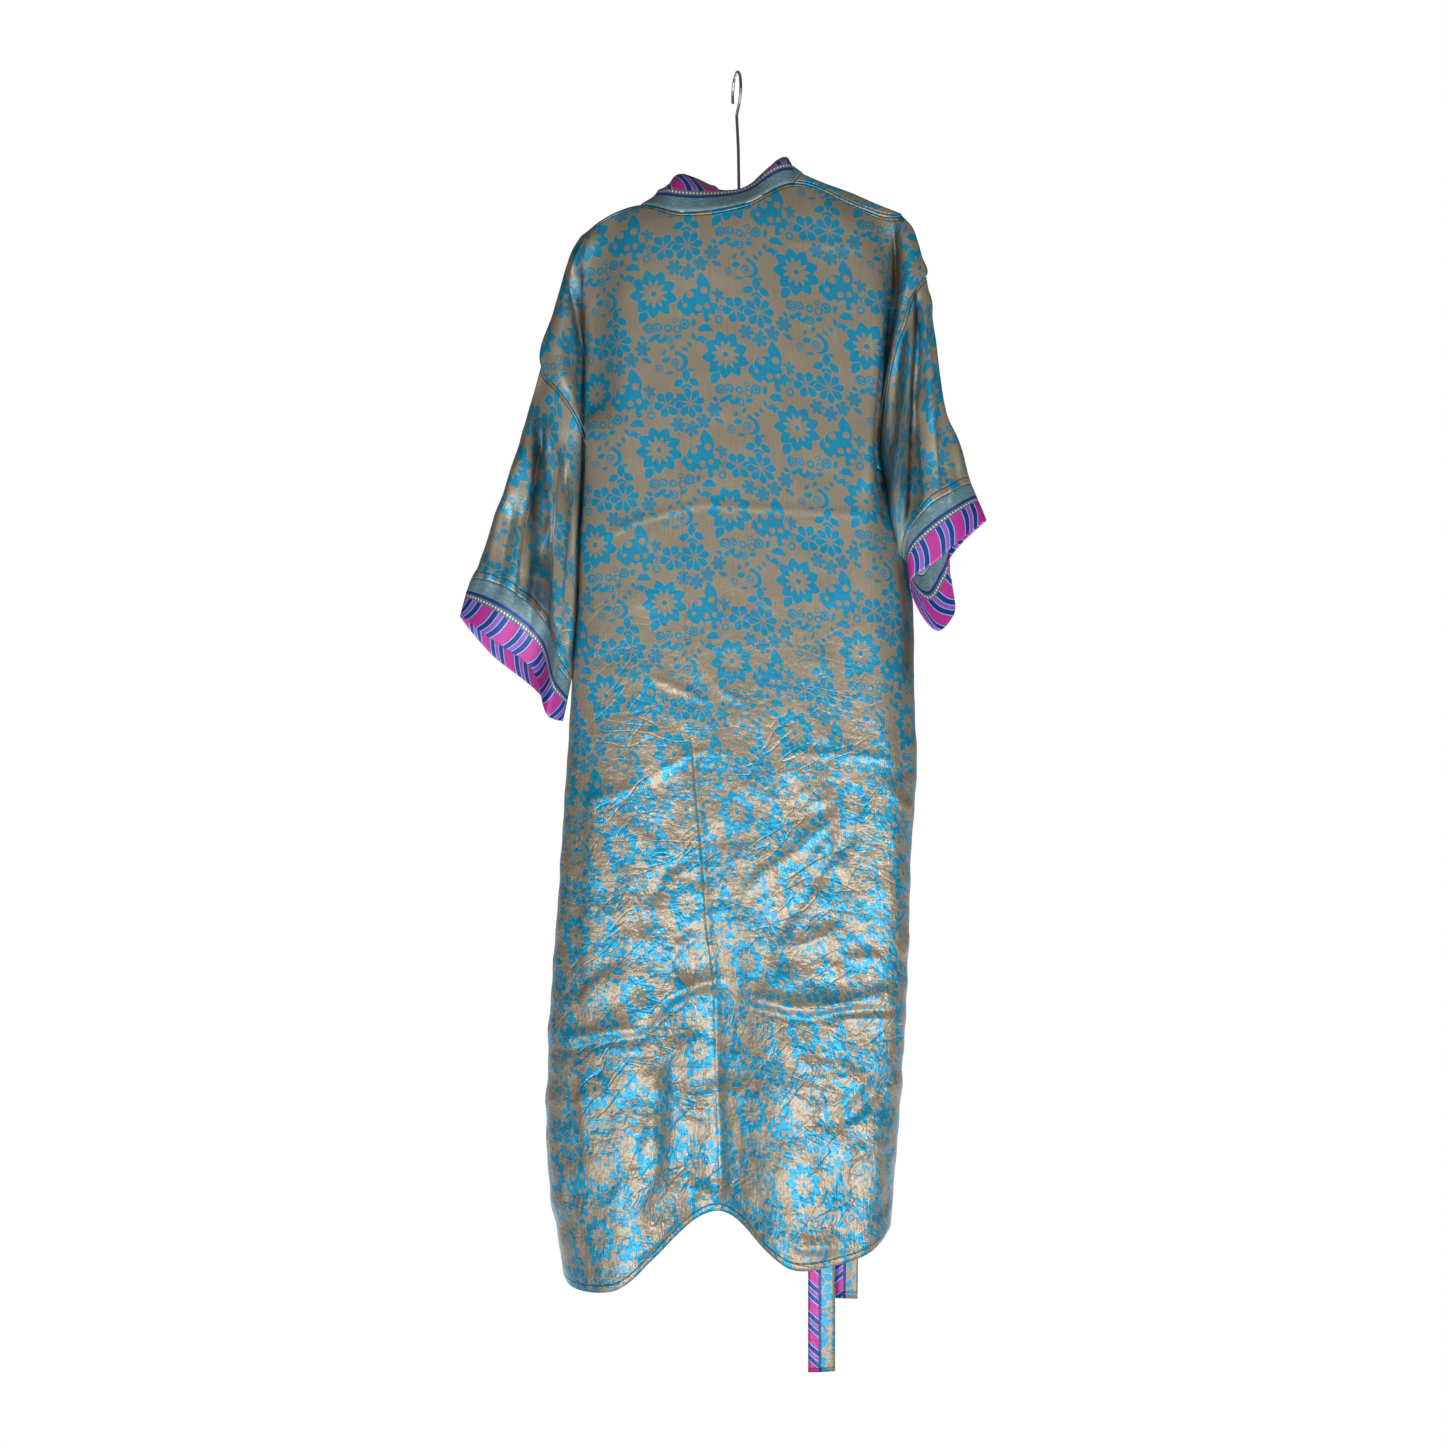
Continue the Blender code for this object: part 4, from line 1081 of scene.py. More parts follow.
def hanger_moulding():
    """Injection-moulded polystyrene, off-white, with the soft gloss of a mould."""
    material, add, shader = new_material("Moulded polystyrene", 0.36)
    place = add("TexCoord", out=3)
    grain = add("TexNoise", place, None, 60.0, 3.0, 0.6)
    colour = add("MixRGB", grain, linear("#DAD6CC"), linear("#EFECE4"))
    plug(shader, "Base Color", colour)
    plug(shader, "Normal", add("Bump", 0.2, 0.0004, None, grain))
    return material


def hook_wire():
    """Bright drawn steel wire, with faint lines that run along it from the die."""
    material, add, shader = new_material("Drawn steel wire", 0.22, 1.0)
    place = add("TexCoord", out=3)
    drawn = add("TexNoise", place, None, 240.0, 3.0, 0.6)
    colour = add("MixRGB", drawn, linear("#A8A6A2"), linear("#D6D4D0"))
    plug(shader, "Base Color", colour)
    return material


def light_world(tree):
    """Show a white room, and light the robe from one that is bright and cool below."""
    add = partial(node, tree)
    shown = tree.nodes["Background"]
    shown.inputs["Color"].default_value = (1.0, 1.0, 1.0, 1.0)
    aside, _, height = add("SeparateXYZ", add("TexCoord"), out=None)
    rise = add("MapRange", height, *ROOM_RISE, 0.0, 1.0)
    share = add("MapRange", rise, 0.0, 1.0, ROOM_BELOW, ROOM_ABOVE)
    off = add("Math ABSOLUTE", aside)
    sides = add("MapRange", off, *ROOM_ASIDE, 1.0, ROOM_SIDES)
    tint = add("MixRGB", rise, linear("#E2F0FF"), linear("#FFF6EA"))
    room = add("Background", tint, add("Math MULTIPLY", share, sides))
    mixed = add("MixShader", add("LightPath"), room, shown.outputs[0])
    plug(tree.nodes["World Output"], "Surface", mixed)


def as_array(rows):
    """Turn rows of points into one array."""
    return np.array([[tuple(point) for point in row] for row in rows])


def eased(share):
    """Ease a share between 0 and 1 in and out."""
    return share * share * (3 - 2 * share)


def step_lengths(points, axis):
    """Return the distances between neighbours along one axis of a grid of points."""
    return np.linalg.norm(np.diff(points, axis=axis), axis=-1)


def running(steps, axis=0):
    """Return the running sums of steps, which start at 0."""
    return np.insert(np.cumsum(steps, axis=axis), 0, 0.0, axis=axis)


def photo_place(points):
    """Return where points in mm fall in the photo, in its pixels."""
    near = -CAMERA_AT[1] / (points[..., 1] - CAMERA_AT[1])
    x = HALF_FRAME + (points[..., 0] - CAMERA_AT[0]) * near / PIXEL
    y = HALF_FRAME - (points[..., 2] - CAMERA_AT[2]) * near / PIXEL
    return x, y


def outward(points, closed):
    """Return the outward direction at each point of a sheet's grid."""
    down = np.gradient(points, axis=0)
    if closed:
        right = np.roll(points, -1, axis=1) - np.roll(points, 1, axis=1)
    else:
        right = np.gradient(points, axis=1)
    normal = np.cross(down, right)
    return normal / np.maximum(np.linalg.norm(normal, axis=-1, keepdims=True), 1e-9)


def crease_rise(x, y, creases, strength):
    """Return how far creases lift the cloth in mm, at places in the photo's pixels."""
    total = np.zeros_like(x)
    for rise, half_width, route in creases:
        best = np.full(x.shape, 1e9)
        side = np.zeros_like(x)
        run = np.zeros_like(x)
        start = 0.0
        for (ax, ay), (bx, by) in zip(route, route[1:]):
            dx, dy = bx - ax, by - ay
            length = math.hypot(dx, dy)
            share = np.clip(((x - ax) * dx + (y - ay) * dy) / length ** 2, 0, 1)
            off_x, off_y = x - ax - share * dx, y - ay - share * dy
            gap = np.hypot(off_x, off_y)
            nearer = gap < best
            best = np.where(nearer, gap, best)
            side = np.where(nearer, dx * off_y - dy * off_x, side)
            run = np.where(nearer, start + share * length, run)
            start += length
        ease = min(END_SHARE * start, END_MOST)
        ends = eased(np.clip(run / ease, 0, 1) * np.clip((start - run) / ease, 0, 1))
        width = half_width * np.where(side > 0, STEEP_SIDE, GENTLE_SIDE)
        total += strength * rise * ends * np.exp(-(best * PIXEL / width) ** 2)
    return total


def rumple(x, y, seed):
    """Return a soft uneven rise between -1 and 1 from a few long waves."""
    rng = np.random.default_rng(seed)
    total = np.zeros_like(x)
    for _ in range(WAVES):
        angle = rng.uniform(-WAVE_SPREAD, WAVE_SPREAD) + math.pi / 2
        length = rng.uniform(*WAVE_LENGTHS)
        phase = rng.uniform(0, math.tau)
        place = x * math.cos(angle) + y * math.sin(angle)
        total += np.sin(place * math.tau / length + phase)
    return total / WAVES_TOTAL


def press_creases(part, points, closed, near_creases, far_creases, hold, sizes):
    """Move the sheet's points along their outward direction by its creases."""
    normal = outward(points, closed)
    x, y = photo_place(points)
    near = np.clip(-CREASE_FADE * normal[..., 1], 0, 1)
    far = np.clip(CREASE_FADE * normal[..., 1], 0, 1)
    rise = near * crease_rise(x, y, near_creases, sizes.crease)
    rise += far * crease_rise(x, y, far_creases, sizes.crease)
    lower = np.clip((y - RUMPLE_FROM) / RUMPLE_OVER, 0, 1)
    rise += sizes.rumple * (RUMPLE_UPPER + lower) * rumple(x, y, RUMPLE_SEEDS[part])
    return points + normal * (rise * hold)[..., None]


def edge_hold(points, top, sides=0):
    """Return 1 inside a sheet, easing to 0 over the given mm at its seamed edges."""
    drop = running(step_lengths(points, 0).mean(axis=1))
    hold = np.ones(points.shape[:2]) * np.clip(drop / top, 0, 1)[:, None]
    if sides:
        reach = running(step_lengths(points, 1), 1)
        hold *= np.clip(np.minimum(reach, reach[:, -1:] - reach) / sides, 0, 1)
    return eased(hold)


def seam_reach(points):
    """Return each place's distance in mm from the sheet's lower and upper edges."""
    down = running(step_lengths(points, 0))
    return np.stack((down[-1:] - down, down), axis=-1)


def fold_shade(points, closed, shades):
    """Return how much painted shade darkens the near side in its narrow folds, from 0 to 1."""
    near = np.clip(-SHADE_FADE * outward(points, closed)[..., 1], 0, 1)
    x, y = photo_place(points)
    dark = np.zeros_like(x)
    for shade in shades:
        dark = np.maximum(dark, crease_rise(x, y, (shade,), 1.0))
    return near * dark


def lay_uv(mesh, name, pairs):
    """Store a pair of values for each corner of a mesh's faces as a UV map."""
    layer = mesh.uv_layers.new(name=name)
    layer.data.foreach_set("uv", pairs.astype(np.float32).ravel())


def cloth_piece(name, points, closed, uv, materials, wall, inward=-1.0, shades=()):
    """Make one sheet of cloth from its grid in mm, with its cut laid out as a UV map."""
    rows, columns = points.shape[:2]
    spans = columns if closed else columns - 1
    faces = []
    corners = []
    for row in range(rows - 1):
        for column in range(spans):
            right = (column + 1) % columns
            faces.append((
                row * columns + column, (row + 1) * columns + column,
                (row + 1) * columns + right, row * columns + right,
            ))
            corners += [
                uv[row, column], uv[row + 1, column], uv[row + 1, column + 1],
                uv[row, column + 1],
            ]
    mesh = bpy.data.meshes.new(name)
    mesh.from_pydata((points.reshape(-1, 3) * MM).tolist(), [], faces)
    order = np.array(faces).ravel()
    # Painted shade for the narrow folds, kept per corner in the folds UV map.
    dark = fold_shade(points, closed, shades).ravel()[order]
    lay_uv(mesh, "cloth", np.array(corners) * MM)
    lay_uv(mesh, "seams", seam_reach(points).reshape(-1, 2)[order] * MM)
    lay_uv(mesh, "folds", np.repeat(dark[:, None], 2, 1))
    mesh.shade_smooth()
    piece = bpy.data.objects.new(name, mesh)
    bpy.context.scene.collection.objects.link(piece)
    for material in materials:
        mesh.materials.append(material)
    solid = piece.modifiers.new("Cloth wall", "SOLIDIFY")
    solid.thickness = wall * MM
    solid.offset = inward
    solid.use_even_offset = False
    solid.material_offset = len(materials) - 1
    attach(piece, "root")
    return piece


def cut_layout(points, middle):
    """Lay a panel out flat: mm across from its middle column, and down by height."""
    height = points[..., 2]
    spread = np.interp(-height[:, :-1], *WIDTH_TAKEN_UP)
    step = np.diff(points, axis=1)
    u = running(np.hypot(step[..., 0] * spread, step[..., 1]), 1)
    u = u - u[:, middle:middle + 1]
    levels = np.arange(0, LOWEST_LEVEL + 1, LEVEL_STEP)
    stretch = np.interp(levels, *LENGTH_TAKEN_UP)
    drops = running(stretch[:-1] * LEVEL_STEP)
    v = np.interp(-height, levels, drops) - GRAIN_SLANT * np.maximum(u - SLANT_FROM, 0)
    return np.stack((u, v), axis=-1)


def tube_layout(points, start):
    """Lay a sleeve out flat: mm round from its top fold, and down along it."""
    ring = np.concatenate((points, points[:, :1]), axis=1)
    u = running(step_lengths(ring, 1), 1)
    u = u - u[:, -1:] / 2
    v = start + running(step_lengths(points, 0).mean(axis=1))
    return np.stack((u, np.repeat(v[:, None], ring.shape[1], axis=1)), axis=-1)


def strip_layout(points, across_first):
    """Lay a long strip out flat: mm along it, and across from its seam."""
    along = running(step_lengths(points[:, points.shape[1] // 2], 0))
    wide = running(step_lengths(points, 1), 1)
    if across_first:
        wide = wide[:, -1:] - wide
    return np.stack((np.repeat(along[:, None], points.shape[1], axis=1), wide), axis=-1)


def gather_columns(points, folds):
    """Draw the columns together beside narrow folds, without changing the form."""
    drawn = points.copy()
    for row, line in enumerate(points):
        x, y = photo_place(line)
        reach = running(step_lengths(line, 0))
        edge = np.clip(np.minimum(reach, reach[-1] - reach) / GATHER_EDGE, 0, 1)
        place = reach.copy()
        for fold in folds:
            level = y[len(y) // 2]
            spot = np.interp(level, [stop[1] for stop in fold], [stop[0] for stop in fold])
            off = reach - np.interp(spot, x, reach)
            place -= GATHER_PULL * off * edge * np.exp(-(off / GATHER_REACH) ** 2)
        for axis in range(3):
            drawn[row, :, axis] = np.interp(place, reach, line[:, axis])
    return drawn


def back_grid():
    """The back's fine grid, before its creases."""
    lines = (
        BACK_LEFT_EDGE, BACK_LEFT_FLAP, BACK_LEFT_VALLEY, BACK_LEFT_CREST, BACK_CENTRE,
        BACK_RIGHT_CREST, BACK_RIGHT_NECK, BACK_RIGHT_RIDGE, BACK_RIGHT_VALLEY,
        BACK_RIGHT_FLAP, BACK_RIGHT_EDGE,
    )
    rows = []
    for share in row_shares(BACK_ROWS, ROW_CROWD):
        keys = [down_line(line, share) for line in lines]
        places = run_lengths(keys)
        row = []
        for span, count in enumerate(BACK_SPANS):
            for step in range(count):
                part = step / count
                if span == CENTRE_SPAN:
                    part = part ** CENTRE_CROWD
                elif span == CENTRE_SPAN - 1:
                    part = 1 - (1 - part) ** CENTRE_CROWD
                place = places[span] + (places[span + 1] - places[span]) * part
                row.append(smooth_through(keys, places, place))
        row.append(keys[-1])
        rows.append(row)
    return rows


def join_side(grid, back, side):
    """Bring a front's side edge to the back's, above and below the armhole."""
    edge = [row[0 if side == "left" else -1] for row in back]
    levels = [-point.z for point in edge]
    top, foot = -ARMHOLE_TOP[side], -UNDERARM[side]
    for row in grid:
        order = range(-1, -JOIN_COLUMNS - 1, -1) if side == "left" else range(JOIN_COLUMNS)
        end = row[order[0]]
        inside = min(max(min(-end.z - top, foot + end.z) / JOIN_EASE, 0.0), 1.0)
        x = float(np.interp(-end.z, levels, [point.x for point in edge]))
        y = float(np.interp(-end.z, levels, [point.y for point in edge])) + SIDE_GAP
        shift = Vector((x - end.x, y - end.y, 0)) * (1 - inside)
        for step, column in enumerate(order):
            row[column] = row[column] + shift * (1 - step / JOIN_COLUMNS) ** 2


def front_grids(back):
    """The fronts' fine grids; the right one starts at its seam behind the shoulder."""
    shares = row_shares(FRONT_ROWS, ROW_CROWD)
    left = (
        FRONT_LEFT_OPENING, FRONT_LEFT_FOLD_A, FRONT_LEFT_FOLD_B, FRONT_LEFT_FOLD_C,
        FRONT_LEFT_EDGE,
    )
    right = (
        FRONT_RIGHT_EDGE, FRONT_RIGHT_FOLD_C, FRONT_RIGHT_FOLD_B, FRONT_RIGHT_FOLD_A,
        FRONT_RIGHT_OPENING,
    )
    left_grid = panel_grid(left, shares, FRONT_COLUMNS)
    right_grid = panel_grid(right, shares, FRONT_COLUMNS)
    join_side(left_grid, back, "left")
    join_side(right_grid, back, "right")
    crown_rows = [[] for _ in range(2 * CROWN_STEPS)]
    for column, point in enumerate(right_grid[0]):
        aside = CROWN_ASIDE + NECK_CORNER * (column / FRONT_COLUMNS) ** 3
        foot = top_edge_at(back[0], min(point.x, BACK_RIGHT_EDGE[0][0]) - aside)
        foot.z += 3 * SEAM_GAP
        crown = Vector((point.x - CROWN_IN, CROWN_Y, point.z + CROWN_RISE))
        keys = [foot, crown, point, right_grid[CROWN_NEXT_ROW][column]]
        for step in range(2 * CROWN_STEPS):
            crown_rows[step].append(smooth_through(keys, [0, 1, 2, 3], step / CROWN_STEPS))
    return left_grid, crown_rows + right_grid


def sleeve_grid(side, rings, cuff_end, back_edge, front_edge):
    """A sleeve and its cuff as one fine tube, its first column at the inner fold."""
    sign = -1 if side == "left" else 1
    shift = Vector((sign * ARMHOLE_GAP, 0, -ARMHOLE_GAP))
    half = 4 * RING_STEPS
    near = along_edge(back_edge, ARMHOLE_TOP[side], UNDERARM[side], half)
    far = along_edge(front_edge, ARMHOLE_TOP[side], UNDERARM[side], half)
    top = near[0].lerp(far[0], 0.5)
    bottom = near[-1].lerp(far[-1], 0.5) + Vector((sign * UNDERARM_OUT, 0, -UNDERARM_DROP))
    armhole = [top] + near[1:half] + [bottom] + far[half - 1:0:-1]
    keys = [[point + shift for point in armhole]]
    keys += [closed_ring([Vector(point) for point in ring], RING_STEPS) for ring in rings]
    keys.append(closed_ring([Vector(point) for point in cuff_end], RING_STEPS))
    count = len(keys) - 1
    places = list(range(count + 1))
    rows = []
    for step in range(SLEEVE_ROWS + CUFF_ROWS + 1):
        if step <= SLEEVE_ROWS:
            place = (count - 1) * step / SLEEVE_ROWS
        else:
            place = count - 1 + (step - SLEEVE_ROWS) / CUFF_ROWS
        ring = [
            smooth_through([row[k] for row in keys], places, place) for k in range(2 * half)
        ]
        rows.append([ring[0]] + ring[:0:-1] if sign > 0 else ring)
    return np.roll(as_array(rows), half, axis=1)


class RobeSizes(bpy.types.PropertyGroup):
    """Sizes of the cloth's own detail."""
    crease: bpy.props.FloatProperty(
        name="Crease strength", description="How far the main creases rise",
        default=1.0, min=0.0, max=2.0, subtype="FACTOR",
    )
    rumple: bpy.props.FloatProperty(
        name="Rumple", description="Height in mm of the soft unevenness between creases",
        default=0.8, min=0.0, max=3.0,
    )
    floor_drop: bpy.props.FloatProperty(
        name="Floor below hook", description="How far the floor lies below the hook",
        default=1.95, min=1.6, max=2.4, unit="LENGTH",
    )


def colour_property(name, colour, about):
    """Return a colour setting with its default from an sRGB hex value."""
    return bpy.props.FloatVectorProperty(
        name=name, description=about, subtype="COLOR", size=3, min=0.0, max=1.0,
        default=linear(colour)[:3],
    )


class RobeColours(bpy.types.PropertyGroup):
    """Colours of the robe's dyes and threads."""
    ground: colour_property("Ground", "#A09078", "Satin between the flowers")
    halo: colour_property("Margin", "#A79B83", "Pale margin round each motif")
    turquoise: colour_property("Turquoise", "#0095B8", "Main dye of the print")
    slate: colour_property("Slate blue", "#3F8EA6", "Weaker dye of the print")
    magenta: colour_property("Magenta", "#B8308C", "Broad bars of the border")
    purple: colour_property("Purple", "#9A4FA6", "Narrow bars of the border")
    navy: colour_property("Navy", "#16357A", "Dark bars and rules of the border")
    light_blue: colour_property("Light blue", "#7FB2E5", "Fine edges between the bars")
    zari: colour_property("Zari", "#5E848C", "Dull metallic strip of the border")
    grey: colour_property("Dotted strip", "#5F6C76", "Ground of the dotted rule")
    cream: colour_property("Cream", "#D8D0B8", "Dots and glints of the border")


class ROBE_OT_back(bpy.types.Operator):
    """Make the back with its listed creases"""
    bl_idname = "robe.make_back"
    bl_label = "Back"

    def execute(self, context):
        """Loft the panel, press its creases and lay out its cut."""
        sizes = context.scene.robe_sizes
        points = gather_columns(as_array(back_grid()), SIDE_FOLDS)
        hold = edge_hold(points, BACK_TOP_EASE, SIDE_EASE)
        uv = cut_layout(points, sum(BACK_SPANS[:CENTRE_SPAN])) + np.array(PRINT_SHIFT)
        points = press_creases(
            "back", points, False, BACK_CREASES, FRONT_CREASES, hold, sizes
        )
        piece = cloth_piece(
            "robe_back", points, False, uv, cloths("satin"), WALL, shades=BACK_SHADES
        )
        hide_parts("back")
        return {"FINISHED"}


class ROBE_OT_fronts(bpy.types.Operator):
    """Make both fronts, hanging behind the back"""
    bl_idname = "robe.make_fronts"
    bl_label = "Fronts"

    def execute(self, context):
        """Loft both panels and press their creases."""
        sizes = context.scene.robe_sizes
        left, right = front_grids(back_grid())
        panels = (("left", left, (0.100, 1.27)), ("right", right, (0.105, 1.30)))
        for side, grid, cut in panels:
            points = as_array(grid)
            uv = cut_layout(points, 0 if side == "left" else FRONT_COLUMNS)
            hold = edge_hold(points, FRONT_TOP_EASE, SIDE_EASE)
            points = press_creases(
                "front_" + side, points, False, BACK_CREASES, FRONT_CREASES, hold, sizes
            )
            piece = cloth_piece("robe_front_" + side, points, False, uv, cloths("satin"), WALL)
            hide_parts("front_" + side)
        return {"FINISHED"}


class ROBE_OT_sleeves(bpy.types.Operator):
    """Make both sleeves with their cuffs"""
    bl_idname = "robe.make_sleeves"
    bl_label = "Sleeves and cuffs"

    def execute(self, context):
        """Loft each tube, press its creases and part the cuff from the sleeve."""
        sizes = context.scene.robe_sizes
        sides = (
            ("left", SLEEVE_LEFT_RINGS, CUFF_LEFT_END, BACK_LEFT_EDGE, FRONT_LEFT_EDGE,
             LEFT_SLEEVE_CREASES, LEFT_SLEEVE_SHADES, (0.40, 0.18), (0.36, 0.055)),
            ("right", SLEEVE_RIGHT_RINGS, CUFF_RIGHT_END, BACK_RIGHT_EDGE, FRONT_RIGHT_EDGE,
             RIGHT_SLEEVE_CREASES, RIGHT_SLEEVE_SHADES, (0.33, 0.165), (0.26, 0.055)),
        )
        for side, rings, end, near, far, creases, shades, cut, cuff_cut in sides:
            points = sleeve_grid(side, rings, end, near, far)
            hold = edge_hold(points, SLEEVE_TOP_EASE)
            points = press_creases(
                "sleeve_" + side, points, True, creases, SLEEVE_BACK_CREASES, hold, sizes
            )
            sleeve = points[:SLEEVE_ROWS + 1]
            cuff = points[SLEEVE_ROWS:].copy()
            step = cuff[1] - cuff[0]
            step /= np.linalg.norm(step, axis=-1, keepdims=True)
            cuff[0] += step * CUFF_GAP
            piece = cloth_piece(
                "robe_sleeve_" + side, sleeve, True,
                tube_layout(sleeve, SLEEVE_PRINT_START), cloths("satin"), WALL, shades=shades,
            )
            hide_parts("sleeve_" + side)
            layout = tube_layout(cuff, 0.0)
            piece = cloth_piece("robe_cuff_" + side, cuff, True, layout, cloths("border"), WALL)
            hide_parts("cuff_" + side)
        return {"FINISHED"}


class ROBE_OT_neck_band(bpy.types.Operator):
    """Make the long band that edges the fronts and stands round the neck"""
    bl_idname = "robe.make_neck_band"
    bl_label = "Neck band"

    def execute(self, context):
        """Stand the band's profile along the neckline and both openings."""
        back = back_grid()
        left_grid, right_grid = front_grids(back)
        left = [row[0] for row in reversed(left_grid)]
        neck = back[0][sum(BACK_SPANS[:3]) + 1:sum(BACK_SPANS[:6])]
        right = [row[-1] for row in right_grid]
        feet = left + neck + right
        lengths = [0.0]
        for a, b in zip(feet, feet[1:]):
            reach = (b - a).length if max(a.z, b.z) > NECK_FOOT else 0.0
            lengths.append(lengths[-1] + reach)
        rows = [band_profile(foot, place / lengths[-1]) for foot, place in zip(feet, lengths)]
        points = as_array([row[::-1] for row in rows])
        piece = cloth_piece(
            "robe_neck_band", points, False, strip_layout(points, True), cloths("border"),
            BAND_WALL,
        )
        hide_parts("neck_band")
        return {"FINISHED"}


class ROBE_OT_belt(bpy.types.Operator):
    """Make the belt and the two cord loops at the side seams"""
    bl_idname = "robe.make_belt"
    bl_label = "Belt and loops"

    def execute(self, context):
        """Hang the belt doubled in its loop, with a slight wave to each half."""
        keys = [Vector(row[:3]) for row in BELT_ROWS]
        turns = [Vector((row[3], row[4], 0)) for row in BELT_ROWS]
        places = run_lengths(keys)
        stations = []
        for start, end in zip(places, places[1:]):
            steps = max(4, round((end - start) / BELT_STEP))
            stations += [start + (end - start) * step / steps for step in range(steps)]
        stations.append(places[-1])
        rows = []
        for station in stations:
            centre = smooth_through(keys, places, station)
            width, turn, _ = smooth_through(turns, places, station)
            aside = Vector((math.cos(math.radians(turn)), math.sin(math.radians(turn)), 0))
            row = []
            for step in range(BELT_ACROSS + 1):
                part = step / BELT_ACROSS - 0.5
                cup = Vector((0, BELT_CUP * (4 * part * part - 0.5), 0))
                row.append(centre + aside * width * part + cup)
            rows.append(row)
        points = as_array(rows)
        uv = strip_layout(points, False)
        piece = cloth_piece("robe_belt", points, False, uv, cloths("belt"), BELT_WALL, 0.0)
        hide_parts("belt")
        cord = loop_cord()
        for side, route in (("right", BELT_LOOP_RIGHT), ("left", BELT_LOOP_LEFT)):
            keys = [Vector(point) for point in route]
            curve = bpy.data.curves.new("robe_loop_" + side, "CURVE")
            curve.dimensions = "3D"
            curve.bevel_depth = LOOP_RADIUS * MM
            curve.bevel_resolution = 4
            curve.use_fill_caps = True
            run = curve.splines.new("POLY")
            path = across(keys, CORD_STEPS * (len(keys) - 1))
            run.points.add(len(path) - 1)
            for target, point in zip(run.points, path):
                target.co = (*(point * MM), 1.0)
            loop = bpy.data.objects.new("robe_loop_" + side, curve)
            context.scene.collection.objects.link(loop)
            curve.materials.append(cord)
            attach(loop, "root")
            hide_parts("belt_loop_" + side)
        return {"FINISHED"}


class ROBE_OT_hanger(bpy.types.Operator):
    """Finish the hanger and its hook"""
    bl_idname = "robe.finish_hanger"
    bl_label = "Hanger"

    def execute(self, context):
        """Give the moulded arms and the wire hook their own finishes."""
        finishes = (("hanger_body", hanger_moulding()), ("hanger_hook", hook_wire()))
        for name, material in finishes:
            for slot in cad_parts[name].material_slots:
                slot.material = material
        return {"FINISHED"}


class ROBE_OT_stage(bpy.types.Operator):
    """Lay the pale floor and set the lights"""
    bl_idname = "robe.set_stage"
    bl_label = "Stage"

    def execute(self, context):
        """Add the floor, the soft lights and the white room."""
        scene = context.scene
        bpy.ops.object.select_all(action="DESELECT")
        bpy.ops.mesh.primitive_circle_add(
            vertices=96, radius=FLOOR_RADIUS, fill_type="NGON",
            location=(0, 0, -scene.robe_sizes.floor_drop),
        )
        floor = context.object
        floor.name = "pale_floor"
        bpy.ops.object.transform_apply(location=True)
        material, _, shader = new_material("Matt white floor", 0.8)
        shader.inputs["Base Color"].default_value = linear("#F2F1EE")
        floor.data.materials.append(material)
        world = bpy.data.worlds.new("White room")
        world.use_nodes = True
        light_world(world.node_tree)
        scene.world = world
        for name, place, aim, size, power, colour, glossy in LIGHTS:
            lamp = bpy.data.lights.new(name, "AREA")
            lamp.size = size
            lamp.energy = power
            lamp.color = linear(colour)[:3]
            item = bpy.data.objects.new(name, lamp)
            item.location = place
            way = Vector(aim) - Vector(place)
            item.rotation_euler = way.to_track_quat("-Z", "Y").to_euler()
            scene.collection.objects.link(item)
            item.visible_glossy = glossy
        return {"FINISHED"}


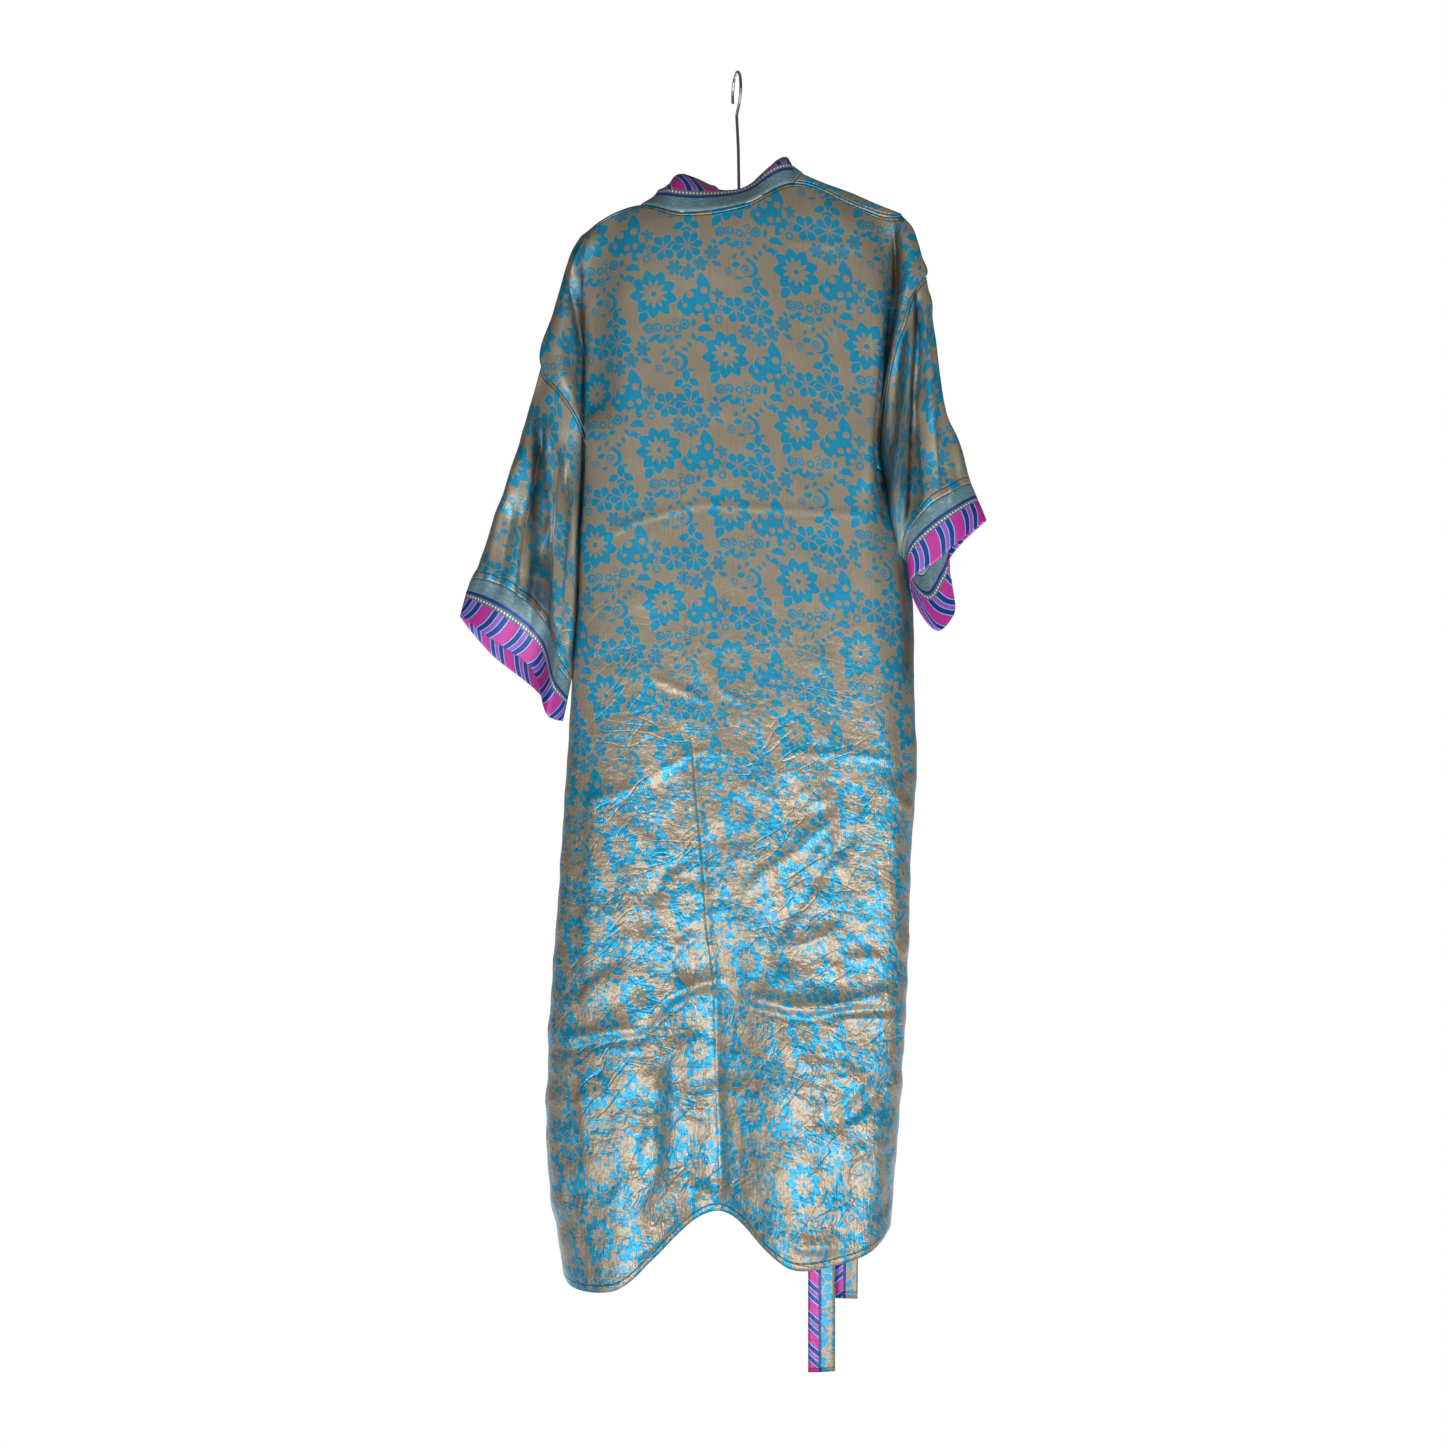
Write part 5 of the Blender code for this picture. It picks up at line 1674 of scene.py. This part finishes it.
class ROBE_OT_camera(bpy.types.Operator):
    """Stand the camera where the photo was taken from"""
    bl_idname = "robe.place_camera"
    bl_label = "Camera"

    def execute(self, context):
        """Set a level camera square on to the robe's back."""
        lens = bpy.data.cameras.new("photo_view")
        lens.sensor_width = 36.0
        lens.lens = 36.0 * -CAMERA_AT[1] / (2 * HALF_FRAME * PIXEL)
        camera = bpy.data.objects.new("photo_view", lens)
        camera.location = [value * MM for value in CAMERA_AT]
        camera.rotation_euler = (math.radians(90), 0, 0)
        context.scene.collection.objects.link(camera)
        context.scene.camera = camera
        context.scene.view_settings.view_transform = "Standard"
        return {"FINISHED"}


class ROBE_PT_panel(bpy.types.Panel):
    """Sidebar panel that lists the robe's pieces"""
    bl_idname = "ROBE_PT_panel"
    bl_label = "Robe"
    bl_space_type = "VIEW_3D"
    bl_region_type = "UI"
    bl_category = "Robe"

    def draw(self, context):
        """List the settings and the operators."""
        for group in (context.scene.robe_sizes, context.scene.robe_colours):
            for name in group.__annotations__:
                self.layout.prop(group, name)
        for step in STEPS:
            self.layout.operator(step.bl_idname)


STEPS = (
    ROBE_OT_camera, ROBE_OT_back, ROBE_OT_fronts, ROBE_OT_sleeves, ROBE_OT_neck_band,
    ROBE_OT_belt, ROBE_OT_hanger, ROBE_OT_stage,
)
CLASSES = (RobeSizes, RobeColours) + STEPS + (ROBE_PT_panel,)
MADE = {}


def cloths(kind):
    """Return the face and wrong-side materials of one cloth, made once."""
    if not MADE:
        colours = bpy.context.scene.robe_colours
        inside = wrong_side(colours)
        MADE["satin"] = (printed_satin(colours), inside)
        MADE["border"] = (woven_border(colours),)
        MADE["belt"] = (belt_cloth(colours),)
    return MADE[kind]


def register():
    """Register the classes and the scene's settings."""
    for kind in CLASSES:
        bpy.utils.register_class(kind)
    bpy.types.Scene.robe_sizes = bpy.props.PointerProperty(type=RobeSizes)
    bpy.types.Scene.robe_colours = bpy.props.PointerProperty(type=RobeColours)


def unregister():
    """Take the classes and settings away again."""
    del bpy.types.Scene.robe_colours
    del bpy.types.Scene.robe_sizes
    for kind in reversed(CLASSES):
        bpy.utils.unregister_class(kind)


def main():
    """Make the whole robe."""
    register()
    bpy.ops.robe.place_camera()
    bpy.ops.robe.make_back()
    bpy.ops.robe.make_fronts()
    bpy.ops.robe.make_sleeves()
    bpy.ops.robe.make_neck_band()
    bpy.ops.robe.make_belt()
    bpy.ops.robe.finish_hanger()
    bpy.ops.robe.set_stage()


if __name__ == "__main__":
    main()
